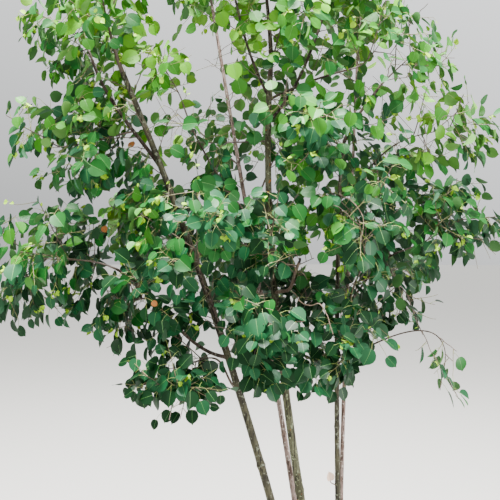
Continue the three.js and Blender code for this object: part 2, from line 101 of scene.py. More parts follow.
OVAL_MIDDLE = 0.48  # a spray is taken as an oval, its middle and half length as shares of its length
OVAL_HALF = 0.52
OVAL_ROOM = 1.15  # how much larger the oval is that no other spray may cross
SPRAY_DEPTH = 13  # how far a spray bends out of its plane
TRIES = 12  # for each twig and spray
SHRINK = 0.06  # how much shorter a twig is at each further try
FIRST_SEED = 211
SEED_STEP = 17
BEAD_PITCH = 12  # between the points that stand for a limb when distances are measured

# The finer growth that the solids leave out
FINE_SEED = 9001
CHOICES = 14  # a fine twig or shoot is the one with the most room, of this many
ROOM_ENOUGH = 95  # more room than this counts for no more
FINE_TWIGS = 2  # for each leaf that a twig of the mass has above FEWEST_LEAVES
FINE_SHOOTS = 6
FEWEST_LEAVES = 2
FINE_TWIG = dict(
    places=(0.15, 0.95), angles=(1.3, 0.6), reach=(0.35, 0.7), rises=(-0.7, 0.5), radii=(1.5, 1.0)
)
SIDE_TWIG = dict(angles=(1.3, 0.7), reach=(50, 170), rises=(-0.4, 0.6), radii=(1.7, 1.0))
SIDE_TWIG_PITCH = 95  # between two side twigs along a limb
SIDE_SPRAYS = 2  # on each side twig
CLEAR_STEM = 1150  # limbs carry short side twigs above this height
TWIG_RADII = (2.1, 1.2)  # of the twigs that the solids have too, at foot and tip
TWIG_POINTS = 7
TWIG_WOBBLE = 2.2  # how far a twig's points lie off its curve
TWIG_CLEAR = np.linspace(0.3, 1, 6)  # the shares of a fine twig at which it has to be clear of limbs
MASS_STEM_POINTS = 12
MASS_STEM_TAPER = 0.75  # its tip's radius, as a share of the solid's
FINE_SPRAY_SIZES = (0.7, 1.0)  # shares of SPRAY_LENGTH
FINE_SPRAY_PLACES = (0.25, 1.0)  # shares of a twig's length
SPRAY_HEART = 0.55  # the share of a spray's length at which its room is measured

# Shoots and leaves
SHOOT_POINTS = 6
SHOOT_RADII = (1.25, 0.7)
SHOOT_SCATTER = 8  # how far a shoot's tip lies off its spray's rib
SHOOT_RISES = (-0.1, 0.35)  # how far a shoot turns up at its end
SHOOT_END = 0.9  # a shoot ends this share of a blade before its spray does
LEAF_MM = 51  # a full-grown blade
LEAF_SIZES = (0.75, 1.12)  # shares of that
SHOOT_LEAF_SIZES = (1.1, 0.75)  # how large the leaves are at the foot and at the end of a shoot
SHOOT_LEAF_FACE = 0.4  # how far they face as their spray does
SIDEWAYS = (1.0, 0.1)  # how far they point sideways, at the foot and at the end,
FORWARDS = (0.3, 0.9)  # and forwards,
UPWARDS = (-0.5, 0.7)  # and at random down or up
FIRST_LEAF = 0.6  # a shoot's first leaf stands at this share of their spacing
LEAVES_FROM = 0.15  # the share of a twig at which its single leaves begin
LEAF_ANGLES = (1.3, 0.8)  # between leaf and twig in radians, at the twig's foot and at its tip
NODE_SPACING = 19  # between two leaves along a shoot
TWIG_NODE_SPACING = 24
STALK_SHARES = (0.45, 0.85)  # a stalk's length, as a share of its blade's
STALK_PARTS = (0.55, 0.45)  # the shares of a stalk before and after its bend
STALK_SAG = 0.35  # how far a stalk turns down at its bend
STALK_RADII = (0.9, 0.6, 0.7)  # at its foot, its bend and its blade
STALK_OVERLAP = 1.5  # how far a stalk runs on under its blade
BLADE_OUT = 0.6  # how far a blade points outwards,
BLADE_DOWN = 0.5  # down
BLADE_SCATTER = 0.55  # and at random
FACE_SCATTER = 0.62  # how far at random its face turns away from the light
LEAF_LIFT = 0.55  # how far leaves face up rather than outwards
BLADE_SPACING = 21  # the middles of two blades are no closer than this
BLADE_MARGIN = 10  # and no closer to the skin of a limb
OVERHANG = 12  # how far a blade may hang out of its mass's space
YOUNG_SIZES = (9, 22)  # the leaves that are just opening at a shoot's tip
BUD_COUNT = 4  # leaves opening at one tip
BUD_SCATTER = 0.9
BUD_LIFT = 0.9  # how far they face up rather than outwards
TIP_CHANCES = (0.04, 0.55)  # that a shoot bears them, within the crown and at its outside
OUTSIDE = 0.4  # the outside begins at this share of OUTSIDE_REACH from the crown's middle,
OUTSIDE_REACH = 450  # and is reached in full this much further out,
TOP_HEIGHT = 2200  # or begins at this height
TOP_REACH = 300  # and is reached in full this much higher

# How each leaf form is bent: its fold along the midrib, its droop, the wave of its rim and its twist
LEAF_SHAPES = (
    (0.15, 0.1, 0.02, 0.0),
    (0.3, 0.16, 0.03, 0.1),
    (0.06, 0.2, 0.035, -0.12),
    (0.5, 0.08, 0.02, 0.05),
)

# The tones of leaves, the last two for opening and dry ones, and the share up to which each of the
# others is picked
TONES = ("dark", "deep", "blue", "mid", "bright", "young", "rust")
SPRAY_TONES = (("dark", 0.32), ("blue", 0.52), ("deep", 0.72), ("mid", 0.93), ("bright", 1.0))
PAINTED_SHADE_HEIGHTS = (1150, 2200)  # painted shade and light: the leaves at the foot of the crown are dealt darker tones than those at its top
HEIGHT_SHARE = 0.55  # how much of a tone comes from its height, as painted shade and light, and not from chance
TONE_CHANGE = 0.3  # the chance that a leaf has another tone than its shoot
DRY_CHANCE = 0.0015  # that a shoot's leaf is dry and rust-coloured
DRY_SIZE = 0.6  # its size, as a share of a green one's

# Each limb: where it starts, where its tip is, its thickness at each end, and the ways in which it
# leaves and ends
STEMS = {
    "stem_left": dict(
        foot=(-25, -26), tip=(-663, -180, 2080), wide=(31, 17), lean=(-0.22, -0.05), end=(-0.42, -0.08)
    ),
    "stem_pale": dict(
        foot=(-20, 42), tip=(-408, 265, 2420), wide=(22, 11), lean=(-0.13, 0.06), end=(-0.165, 0.1)
    ),
    "stem_centre": dict(
        foot=(6, -4), tip=(-203, 10, 2110), wide=(32, 19), lean=(-0.135, 0), end=(0.06, 0.02)
    ),
    "stem_right": dict(
        foot=(36, -34), tip=(24, -80, 1830), wide=(22, 12), lean=(-0.03, -0.03), end=(0.04, -0.02)
    ),
    "stem_thin": dict(
        foot=(34, 38), tip=(120, 235, 2250), wide=(18, 9), lean=(0, 0.1), end=(0.05, 0.08)
    ),
}

# Heights at which a stem has the scar of a lost branch
SCARS = {
    "stem_left": (838, 540),
    "stem_pale": (890, 610),
    "stem_centre": (735, 420),
    "stem_right": (960,),
}
SCAR_SWELLING = 0.2  # as a share of the radius
SCAR_LENGTH = 7  # to each side of its middle

# The pruned shoot low on a stem, with the dry leaf that is left at its end
PRUNED = dict(
    on="stem_right", height=764, out=(-0.75, -0.35, 0.55), end_lean=0.2, length=34, wide=(4.8, 3),
    leaf=32, leaf_faces=(0.5, -1, 0), leaf_form=3,
)
PRUNED_SAMPLES = 1000  # points of the stem, of which the one nearest to its height is its foot

# Which of the barks below a stem has, where it isn't olive
STEM_BARKS = {"stem_left": "dark", "stem_right": "dark", "stem_pale": "pale", "stem_thin": "pale"}

BOUGHS = {
    "leader_left": dict(
        on="stem_left", at=0.86, wide=(13, 9),
        tip=(-770, -130, 2139), leave=(-0.6, 0.2, 0.8), end=(-0.3, 0, 0.95),
    ),
    "bough_left": dict(
        on="stem_left", at=0.57, wide=(12, 8),
        tip=(-682, -200, 1476), leave=(-0.75, -0.2, 0.1), end=(-0.85, -0.1, 0.45),
    ),
    "bough_left_low": dict(
        on="stem_left", at=0.52, wide=(8, 6),
        tip=(-390, -150, 1195), leave=(-0.8, -0.25, 0.4), end=(-0.95, -0.15, 0.1),
    ),
    "bough_left_inner": dict(
        on="stem_left", at=0.6, wide=(9, 6),
        tip=(-425, -200, 1470), leave=(0.1, -0.7, 0.7), end=(-0.1, -0.5, 0.85),
    ),
    "bough_back_left": dict(
        on="stem_pale", at=0.52, wide=(9, 6),
        tip=(-480, 300, 1520), leave=(-0.7, 0.4, 0.6), end=(-0.8, 0.4, 0.4),
    ),
    "bough_back": dict(
        on="stem_pale", at=0.68, wide=(9, 6),
        tip=(-190, 330, 1850), leave=(0.3, 0.7, 0.65), end=(0.3, 0.6, 0.7),
    ),
    "bough_back_low": dict(
        on="stem_pale", at=0.46, wide=(8, 6),
        tip=(-220, 280, 1320), leave=(0.1, 0.8, 0.6), end=(0, 0.9, 0.4),
    ),
    "bough_open": dict(
        on="stem_centre", at=0.74, wide=(7, 5),
        tip=(-487, -70, 2007), leave=(-0.6, -0.2, 0.7), end=(-0.3, 0, 0.95),
    ),
    "bough_front": dict(
        on="stem_centre", at=0.52, wide=(9, 6),
        tip=(-215, -160, 1290), leave=(-0.2, -0.8, 0.6), end=(-0.2, -0.95, 0.1),
    ),
    "leader_centre": dict(
        on="stem_centre", at=1, wide=(17, 9),
        tip=(-222, -10, 2470), leave=(0.09, 0.02, 1), end=(-0.03, 0, 1),
    ),
    "leader_centre_left": dict(
        on="stem_centre", at=0.97, wide=(10, 7),
        tip=(-328, -70, 2390), leave=(-0.5, -0.15, 0.8), end=(-0.22, -0.03, 0.95),
    ),
    "leader_centre_right": dict(
        on="stem_centre", at=0.93, wide=(11, 8),
        tip=(-26, 0, 2310), leave=(0.6, 0.15, 0.6), end=(0.32, 0, 0.95),
    ),
    "bough_centre_right": dict(
        on="stem_centre", at=0.965, wide=(9, 6),
        tip=(52, -110, 2110), leave=(0.85, -0.45, 0.35), end=(0.95, -0.1, 0.2),
    ),
    "bough_right_low": dict(
        on="stem_right", at=0.7, wide=(8, 6),
        tip=(70, -170, 1460), leave=(0.3, -0.6, 0.75), end=(0.3, -0.5, 0.8),
    ),
    "leader_right": dict(
        on="stem_right", at=1, wide=(12, 8),
        tip=(140, -110, 2050), leave=(0.04, -0.02, 1), end=(0.6, -0.1, 0.8),
    ),
    "bough_right": dict(
        on="stem_thin", at=0.6, wide=(9, 6),
        tip=(240, 20, 1530), leave=(0.6, -0.4, 0.7), end=(0.85, -0.3, 0.3),
    ),
    "bough_right_high": dict(
        on="stem_thin", at=0.78, wide=(8, 5),
        tip=(240, 60, 1900), leave=(0.6, -0.5, 0.7), end=(0.8, -0.4, 0.4),
    ),
    "bough_back_right": dict(
        on="stem_thin", at=0.55, wide=(8, 6),
        tip=(140, 285, 1430), leave=(0.2, 0.7, 0.6), end=(0.4, 0.8, 0.4),
    ),
    "twig_drooping": dict(
        on="stem_right", at=0.64, wide=(6, 3.6),
        tip=(349, -100, 1232), leave=(0.8, -0.1, 0.5), end=(0.4, 0, -0.9),
    ),
}

# Each mass: the limb it stands on and where along it, its tip, its reach, and how many twigs it has
# and leaves each of them
MASSES = {
    "foliage_top": dict(
        on="leader_centre", at=1, tip=(-210, -15, 2800), spread=240, twigs=4, leaves=5
    ),
    "foliage_top_left": dict(
        on="leader_centre_left", at=1, tip=(-400, -95, 2580), spread=210, twigs=3, leaves=5
    ),
    "foliage_top_right": dict(
        on="leader_centre_right", at=1, tip=(40, -60, 2570), spread=230, twigs=4, leaves=4
    ),
    "foliage_pale_top": dict(
        on="stem_pale", at=1, tip=(-460, 310, 2660), spread=210, twigs=3, leaves=5
    ),
    "foliage_left_top": dict(
        on="stem_left", at=1, tip=(-725, -230, 2330), spread=230, twigs=4, leaves=5
    ),
    "foliage_left_fork": dict(
        on="leader_left", at=1, tip=(-860, -90, 2270), spread=210, twigs=4, leaves=4
    ),
    "foliage_left_high": dict(
        on="leader_left", at=0.35, tip=(-880, -190, 1850), spread=260, twigs=5, leaves=5
    ),
    "foliage_open": dict(
        on="bough_open", at=1, tip=(-560, -90, 2150), spread=170, twigs=2, leaves=3
    ),
    "foliage_level": dict(
        on="stem_centre", at=0.9, tip=(-470, -40, 1890), spread=190, twigs=3, leaves=3
    ),
    "foliage_left": dict(
        on="bough_left", at=1, tip=(-980, -170, 1520), spread=280, twigs=5, leaves=5
    ),
    "foliage_left_under": dict(
        on="bough_left", at=0.7, tip=(-720, -110, 1370), spread=230, twigs=4, leaves=5
    ),
    "foliage_left_mid": dict(
        on="stem_left", at=0.74, tip=(-680, -20, 1660), spread=230, twigs=4, leaves=5
    ),
    "foliage_left_inner": dict(
        on="bough_left_inner", at=1, tip=(-430, -290, 1640), spread=240, twigs=4, leaves=5
    ),
    "foliage_left_low": dict(
        on="bough_left_low", at=1, tip=(-504, -222, 1163), spread=250, twigs=5, leaves=5
    ),
    "foliage_centre": dict(
        on="stem_centre", at=0.68, tip=(-210, -260, 1600), spread=230, twigs=4, leaves=5
    ),
    "foliage_front": dict(
        on="bough_front", at=1, tip=(-250, -290, 1290), spread=220, twigs=4, leaves=5
    ),
    "foliage_right_inner": dict(
        on="stem_centre", at=0.6, tip=(-70, -70, 1400), spread=230, twigs=4, leaves=5
    ),
    "foliage_right_low": dict(
        on="stem_right", at=0.64, tip=(0, -240, 1290), spread=250, twigs=5, leaves=5
    ),
    "foliage_right_mid": dict(
        on="bough_right_low", at=1, tip=(90, -190, 1660), spread=250, twigs=5, leaves=5
    ),
    "foliage_right": dict(
        on="bough_right", at=1, tip=(440, -60, 1650), spread=250, twigs=5, leaves=5
    ),
    "foliage_right_high": dict(
        on="bough_right_high", at=1, tip=(400, -70, 1940), spread=230, twigs=4, leaves=5
    ),
    "foliage_right_under": dict(
        on="bough_right", at=0.75, tip=(250, -100, 1370), spread=220, twigs=3, leaves=4
    ),
    "foliage_centre_right": dict(
        on="leader_right", at=0.15, tip=(-130, -210, 1930), spread=220, twigs=4, leaves=5
    ),
    "foliage_upper_right": dict(
        on="bough_centre_right", at=1, tip=(170, -60, 2230), spread=210, twigs=4, leaves=4
    ),
    "foliage_leader_right": dict(
        on="leader_right", at=1, tip=(250, -150, 2160), spread=220, twigs=4, leaves=4
    ),
    "foliage_thin_top": dict(
        on="stem_thin", at=1, tip=(150, 280, 2490), spread=210, twigs=3, leaves=5
    ),
    "foliage_back_left": dict(
        on="bough_back_left", at=1, tip=(-690, 330, 1640), spread=250, twigs=4, leaves=5
    ),
    "foliage_back_high": dict(
        on="stem_pale", at=0.76, tip=(-500, 340, 2020), spread=230, twigs=4, leaves=4
    ),
    "foliage_back": dict(
        on="bough_back", at=1, tip=(-110, 420, 2000), spread=230, twigs=4, leaves=4
    ),
    "foliage_back_low": dict(
        on="bough_back_low", at=1, tip=(-260, 450, 1400), spread=240, twigs=4, leaves=5
    ),
    "foliage_back_right": dict(
        on="bough_back_right", at=1, tip=(250, 400, 1540), spread=250, twigs=4, leaves=5
    ),
    "foliage_back_right_high": dict(
        on="stem_thin", at=0.78, tip=(300, 330, 1900), spread=210, twigs=3, leaves=4
    ),
    "foliage_drooping": dict(
        on="twig_drooping", at=1, tip=(338, -105, 1085), spread=130, twigs=2, leaves=3
    ),
    "foliage_top_centre": dict(
        on="leader_centre", at=0.1, tip=(-150, -150, 2330), spread=200, twigs=4, leaves=5
    ),
}

# The eye that sees the tree from the front. Open places are given as it sees them, on the plane y = 0.
EYE = np.array([-270.0, -2600.0, 1550.0])

# Where the sky is brightest: up, and a little to the right and in front
BRIGHT_SKY = (0.3, -0.28, 0.91)

# Open places in the crown: the middle and half sizes in x and z, and the share of twigs and leaves that
# are missing there
CLEARINGS = {
    "between_the_left_stem_and_the_leaders": dict(at=(-440, 2080), half=(120, 200), missing=0.7),
    "left_of_the_leaders": dict(at=(-397, 2183), half=(75, 75), missing=0.7),
    "round_the_centre_stem": dict(at=(-270, 1900), half=(100, 183), missing=0.5),
    "under_the_leaders": dict(at=(-190, 1850), half=(110, 60), missing=0.4),
    "left_of_the_centre_stem": dict(at=(-503, 1850), half=(110, 90), missing=0.65),
    "right_of_the_left_stem": dict(at=(-547, 1970), half=(70, 110), missing=0.75),
    "between_the_left_leaders": dict(at=(-313, 1993), half=(45, 50), missing=0.6),
    "between_the_right_leaders": dict(at=(20, 2077), half=(45, 55), missing=0.6),
    "before_the_centre_stem": dict(at=(-175, 1400), half=(75, 95), missing=0.62),
    "in_the_middle": dict(at=(-50, 1487), half=(78, 50), missing=0.88),
    "upper_right": dict(at=(353, 2090), half=(190, 250), missing=0.4),
    "beside_the_right_leader": dict(at=(187, 2150), half=(75, 90), missing=0.7),
    "under_the_upper_right": dict(at=(263, 1907), half=(65, 60), missing=0.6),
    "beyond_the_right_boughs": dict(at=(533, 1480), half=(80, 85), missing=0.95),
    "left_notch": dict(at=(-1010, 1683), half=(75, 75), missing=0.7),
    "under_the_front": dict(at=(-190, 960), half=(170, 70), missing=0.8),
    "under_the_right_boughs": dict(at=(230, 1083), half=(117, 200), missing=0.85),
    "over_the_drooping_twig": dict(at=(420, 1275), half=(130, 60), missing=0.85),
    "beyond_the_drooping_twig": dict(at=(495, 1170), half=(60, 130), missing=0.9),
    "along_the_drooping_twig": dict(at=(380, 1130), half=(120, 150), missing=0.5),
    "outer_right": dict(at=(447, 1365), half=(167, 100), missing=0.8),
    "right_notch": dict(at=(233, 1410), half=(65, 55), missing=0.5),
    "over_the_low_fork": dict(at=(-395, 1245), half=(90, 85), missing=0.75),
    "under_the_left_boughs": dict(at=(-637, 940), half=(367, 93), missing=0.8),
    "outer_left": dict(at=(-887, 1117), half=(167, 167), missing=0.85),
}

# Places where the crown is thick: twigs and shoots turn to them first
THICKETS = {
    "upper_left": dict(at=(-780, 2040), half=(110, 80)),
    "left": dict(at=(-780, 1710), half=(110, 90)),
    "middle_left": dict(at=(-770, 1490), half=(90, 55)),
    "outer_left": dict(at=(-897, 1350), half=(130, 60)),
    "lower_left": dict(at=(-640, 1100), half=(80, 50)),
    "under_the_left_stem": dict(at=(-550, 1325), half=(80, 45)),
    "front_foot": dict(at=(-370, 1085), half=(90, 50)),
    "low_right": dict(at=(-63, 1133), half=(60, 50)),
    "right": dict(at=(353, 1743), half=(60, 60)),
    "right_foot": dict(at=(353, 1510), half=(60, 45)),
    "drooping": dict(at=(363, 1080), half=(60, 50)),
}
THICKET_WEIGHT = 1.8  # how many times the room there counts

# Places in full light: the leaves there are dealt brighter tones, a painted light, and more shoots end in
# opening leaves
SUNLIT = {
    "top": dict(at=(-303, 2280), half=(160, 140)),
    "upper_left": dict(at=(-603, 2150), half=(150, 180)),
    "along_the_left_stem": dict(at=(-540, 1830), half=(100, 90)),
    "upper_right": dict(at=(330, 2000), half=(130, 160)),
    "left_edge": dict(at=(-1020, 1560), half=(120, 120)),
    "left": dict(at=(-690, 1617), half=(110, 90)),
    "front": dict(at=(-30, 1560), half=(120, 140)),
    "drooping": dict(at=(363, 1133), half=(120, 160)),
}
PAINTED_LIGHT_GAIN = 0.25  # added to the share that picks a tone, as painted light
SUNLIT_TIPS = 0.6  # the chance of opening leaves at a shoot's tip

# Stretches of limbs that show between the leaves: from and to as shares of the limb, how far to each
# side it is clear, and the share of the leaves in front that are missing
BARE_STRETCHES = {
    "stem_left": dict(over=(0.66, 1.0), clear=30, missing=0.8),
    "stem_pale": dict(over=(0.74, 1.0), clear=24, missing=0.6),
    "stem_centre": dict(over=(0.68, 0.97), clear=26, missing=0.7),
    "leader_left": dict(over=(0.0, 1.0), clear=22, missing=0.7),
    "leader_centre": dict(over=(0.0, 1.0), clear=26, missing=0.7),
    "leader_centre_left": dict(over=(0.0, 1.0), clear=24, missing=0.7),
    "leader_centre_right": dict(over=(0.0, 1.0), clear=26, missing=0.7),
    "bough_centre_right": dict(over=(0.2, 1.0), clear=20, missing=0.6),
}
STRETCH_POINTS = 40

# Wood without leaves that shows in the crown: the piece it belongs to, the stem it stands on, its
# thickness at each end, how far to each side it is clear, and its course from the stem outwards
BARE_WOOD = (
    ("broken_bough", "stem_centre", (12.5, 10), 24, (
        (-188, 0, 1391), (-165, -30, 1397), (-146, -60, 1403), (-134, -75, 1422),
        (-126, -85, 1458), (-117, -92, 1482), (-112, -96, 1494))),
    ("broken_bough", "stem_centre", (5.5, 3.6), 14, (
        (-117, -90, 1482), (-133, -95, 1486), (-151, -98, 1488), (-177, -105, 1503),
        (-200, -110, 1518), (-220, -112, 1523))),
    ("broken_bough", "stem_centre", (4, 3.4), 10, (
        (-126, -86, 1458), (-140, -93, 1473), (-153, -99, 1489))),
    ("broken_bough", "stem_centre", (3.4, 2.4), 10, (
        (-126, -85, 1458), (-110, -100, 1462), (-97, -110, 1456), (-88, -118, 1438))),
    ("broken_end", "stem_centre", (9.6, 6), 14, (
        (-114, -95, 1490), (-110, -97, 1500), (-109, -98, 1508))),
    ("arching_twigs", "stem_centre", (4.2, 2.4), 12, (
        (-140, -62, 1405), (-123, -110, 1390), (-118, -150, 1379), (-106, -190, 1369),
        (-84, -220, 1365), (-65, -250, 1374), (-54, -262, 1366), (-39, -275, 1338),
        (-32, -280, 1312), (-23, -283, 1285))),
    ("arching_twigs", "stem_right", (4.4, 2.8), 17, (
        (20, -78, 1718), (15, -130, 1708), (25, -180, 1697), (36, -215, 1688),
        (53, -240, 1666), (66, -255, 1642), (70, -262, 1622), (67, -266, 1589),
        (60, -268, 1562))),
)
BARE_MISSING = 0.9  # the share of the leaves in front of it that are missing

# Its skin and the shade that mottles it: weathered, nearly black where it broke, and thin and dry
BARE_SKINS = {
    "broken_bough": ("#7a6858", "#57483b"),
    "broken_end": ("#2b231c", "#1c1612"),
    "arching_twigs": ("#83705f", "#665445"),
}

# How much more, or less, a mass bears than the rule gives it
FULLNESS = {
    "foliage_left_high": 1.5,
    "foliage_left": 1.6,
    "foliage_left_low": 1.4,
    "foliage_left_mid": 1.3,
    "foliage_front": 1.5,
    "foliage_right_low": 1.2,
    "foliage_right": 1.1,
    "foliage_centre_right": 0.7,
    "foliage_upper_right": 0.7,
    "foliage_top_right": 0.8,
    "foliage_drooping": 0.2,
}

# The same for the side twigs of a limb
SIDE_FULLNESS = {"stem_left": 1.5, "leader_left": 2.2}


# Vectors, curves and seeded numbers


def unit(v):
    return v / np.linalg.norm(v, axis=-1, keepdims=True)


def lerp(a, b, share):
    return a + (b - a) * share


def along(v):
    return unit(np.array(v, float))


def seeded(seed):
    """Draws numbers from 0 to 1, the same ones for the same seed, as the solids' rule draws them."""
    word = 2**32
    state = seed

    def draw():
        nonlocal state
        state = (state + 0x6D2B79F5) % word
        t = (state ^ state >> 15) * (state | 1) % word
        t ^= (t + (t ^ t >> 7) * (t | 61)) % word
        return (t ^ t >> 14) / word

    return draw


def smooth_line(corners, steps=5):
    """A smooth line through the given points."""
    corners = np.array(corners, float)
    share = np.linspace(0, len(corners) - 1, (len(corners) - 1) * steps + 1)
    i = np.minimum(share.astype(int), len(corners) - 2)
    t = (share - i)[:, None]
    a, b = corners[i], corners[i + 1]
    lean = np.gradient(corners, axis=0)
    line = a * (1 + 2 * t) * (1 - t) ** 2 + b * (3 - 2 * t) * t**2
    return line + lean[i] * t * (1 - t) ** 2 - lean[i + 1] * t**2 * (1 - t)


class Sweep:
    """A cubic curve that leaves and ends in the given directions."""

    def __init__(self, start, leave, tip, end):
        handle = np.linalg.norm(tip - start) / 3
        self.corners = np.array([start, start + leave * handle, tip - end * handle, tip])
        self.reference = np.eye(3)[np.argmin(np.abs(tip - start))]

    def point(self, share):
        t = np.asarray(share, float)[..., None]
        a, b, c, d = self.corners
        return a * (1 - t) ** 3 + b * 3 * t * (1 - t) ** 2 + c * 3 * t * t * (1 - t) + d * t**3

    def tangent(self, share):
        t = np.asarray(share, float)[..., None]
        a, b, c = np.diff(self.corners, axis=0)
        return unit(a * (1 - t) ** 2 + b * 2 * t * (1 - t) + c * t * t)

    def length(self):
        line = self.point(np.linspace(0, 1, LENGTH_SAMPLES))
        return np.linalg.norm(np.diff(line, axis=0), axis=1).sum()

    def away(self, share, turn, angle):
        """A direction turned away from the curve's own by an angle, after a turn about it."""
        tangent = self.tangent(share)
        side, other = square_to(tangent, self.reference)
        out = side * math.cos(turn) + other * math.sin(turn)
        return tangent * math.cos(angle) + out * math.sin(angle)


def square_to(tangent, reference):
    """Two directions square to a tangent, the first as near as it can be to a reference axis."""
    side = unit(reference - tangent * (reference @ tangent))
    return side, np.cross(tangent, side)


# Limbs and the rule by which a mass grows


def taper(wide):
    return lambda share: lerp(wide[0], wide[1], share) / 2


def beads(curve, radius_at):
    """Points along a limb, with its radius there."""
    share = np.linspace(0, 1, math.ceil(curve.length() / BEAD_PITCH) + 1)
    return curve.point(share), radius_at(share) + np.zeros_like(share)


def stem_limb(row):
    """A stem's curve starts below the ground, so that the flat cut crosses all of it."""
    leave = along((*row["lean"], 1))
    foot = np.array([*row["foot"], 0.0]) - leave * BURIED
    curve = Sweep(foot, leave, np.array(row["tip"], float), along((*row["end"], 1)))
    start = (BURIED + CROWN_HEIGHT + GAP) / curve.length()
    return SimpleNamespace(curve=curve, radius_at=taper(row["wide"]), start=start)


def foot_of(row, limbs):
    curve = limbs[row["on"]].curve
    start = curve.point(row["at"])
    return start + curve.tangent(1.0) * GAP if row["at"] == 1 else start


@functools.cache
def all_limbs():
    limbs = {name: stem_limb(row) for name, row in STEMS.items()}
    for name, row in BOUGHS.items():
        tip = np.array(row["tip"], float)
        curve = Sweep(foot_of(row, limbs), along(row["leave"]), tip, along(row["end"]))
        limbs[name] = SimpleNamespace(curve=curve, radius_at=taper(row["wide"]), start=0.0)
    return limbs


@functools.cache
def all_limb_beads():
    return [beads(limb.curve, limb.radius_at) for limb in all_limbs().values()]


def mass_stem(row):
    limbs = all_limbs()
    host = limbs[row["on"]]
    start = foot_of(row, limbs)
    tip = np.array(row["tip"], float)
    straight = unit(tip - start)
    leave = host.curve.tangent(1.0) if row["at"] == 1 else straight
    curve = Sweep(start, leave, tip, unit(straight + UP * STEM_RISE))
    foot = host.radius_at(1) * STEM_SHARE if row["at"] == 1 else STEM_FOOT
    return SimpleNamespace(
        curve=curve,
        radius_at=lambda share: lerp(foot, TWIG_TIP, share),
        middle=curve.point(MIDDLE),
        spread=row["spread"],
    )


def spaces(stems):
    """Each mass's space: the planes between it and every other mass, and its own reach."""
    for mine in stems.values():
        others = [other for other in stems.values() if other is not mine]
        apart = np.array([other.middle - mine.middle for other in others])
        span = np.linalg.norm(apart, axis=1)
        reach = np.array([other.spread for other in others])
        mine.planes = apart / span[:, None]
        mine.splits = (span**2 + mine.spread**2 - reach**2) / (2 * span)


def in_space(point, mine, margin=SPACE_MARGIN):
    off = point - mine.middle
    if np.linalg.norm(off) > mine.spread - margin:
        return False
    return bool(np.all(mine.splits - mine.planes @ off > margin))


def spray_on(curve, share, turn, size, tilt):
    """A spray hangs out to one side of its twig, its upper face turned to the light and outwards."""
    tangent = curve.tangent(share)
    rib = unit(curve.away(share, turn, math.pi / 2) + tangent * SPRAY_LEAN - UP * SPRAY_LEAN)
    base = curve.point(share) - rib * TWIG_TIP * SPRAY_SUNK
    outward = unit((base - CROWN_MIDDLE) * (1, 1, 0))
    face = square_to(rib, unit(outward + UP * tilt + tangent * SPRAY_FORWARDS))[0]
    side = np.cross(face, rib)
    half = size * SPRAY_WIDTH / SPRAY_LENGTH / 2
    wide = base + rib * size * SPRAY_WIDEST + face * SPRAY_THICKNESS
    rim = np.array([base, wide + side * half, base + rib * size, wide - side * half])
    return SimpleNamespace(base=base, rib=rib, side=side, face=face, size=size, half=half, rim=rim)


def spray_clear(spray, at, radius):
    """A bead touches a spray if it lies near the spray's plane and within its outline."""
    off = at - spray.base - spray.rib * spray.size * OVAL_MIDDLE
    room = radius + LIMB_MARGIN
    beyond = np.abs(off @ spray.face) > room + SPRAY_DEPTH
    u = off @ spray.rib / (spray.size * OVAL_HALF + room)
    v = off @ spray.side / (spray.half + room)
    return bool(np.all(beyond | (np.hypot(u, v) > 1)))


def crosses(edged, plane):
    """Whether an edge of one spray passes through another."""
    off = edged.rim - plane.base
    u = off @ plane.rib / plane.size - OVAL_MIDDLE
    local = np.stack([u, off @ plane.side / plane.half, off @ plane.face], axis=1)
    following = np.roll(local, -1, axis=0)
    z, w = local[:, 2], following[:, 2]
    beyond = (z * w > 0) & (np.minimum(abs(z), abs(w)) > SPRAY_THICKNESS)
    with np.errstate(divide="ignore", invalid="ignore"):
        share = np.clip(z / (z - w), 0, 1)
    at = local + (following - local) * share[:, None]
    return bool(np.any(~beyond & (np.hypot(at[:, 0] / OVAL_HALF, at[:, 1]) < OVAL_ROOM)))


def spray_fits(spray, mass):
    if not all(in_space(p, mass.stem) for p in spray.rim[1:]):
        return False
    own = np.linalg.norm(mass.twig_at - spray.base, axis=1) > SPRAY_FREE
    if not spray_clear(spray, *mass.around):
        return False
    if not spray_clear(spray, mass.twig_at[own], mass.twig_radius[own]):
        return False
    for other in mass.sprays:
        if np.linalg.norm(other.rim[2] - spray.rim[2]) <= TIP_SPACING:
            return False
        if crosses(spray, other) or crosses(other, spray):
            return False
    return True


def twig_fits(curve, mass):
    at, radius = mass.around
    points = curve.point(np.array(TWIG_CHECKS))
    gaps = np.linalg.norm(points[:, None] - at[None], axis=2)
    own = beads(curve, lambda share: TWIG_FOOT)
    return (
        in_space(curve.point(1.0), mass.stem)
        and bool(np.all(gaps > radius + TWIG_MARGIN))
        and all(spray_clear(spray, *own) for spray in mass.sprays)
    )


def first_fit(make, fits):
    return next((made for made in map(make, range(TRIES)) if fits(made)), None)


def spray_tilt(draw):
    """How far a spray's face turns up."""
    return SPRAY_TILT + TILT_PLAY * draw()


def bear_sprays(mass, curve, count):
    for i in range(count):
        share = SPRAYS_TO - SPRAYS_OVER * i / count
        turn = mass.draw() * math.tau
        size = SPRAY_LENGTH * lerp(*SPRAY_SIZES, mass.draw())
        tilt = spray_tilt(mass.draw)
        spray = first_fit(
            lambda i: spray_on(curve, share, turn + i * GOLDEN_ANGLE, size, tilt),
            lambda made: spray_fits(made, mass),
        )
        if spray:
            mass.sprays.append(spray)


def twig_curve(stem, share, turn, angle, reach):
    start = stem.curve.point(share)
    leave = unit(stem.curve.away(share, turn, angle) + UP * TWIG_RISE)
    return Sweep(start, leave, start + leave * reach, leave)


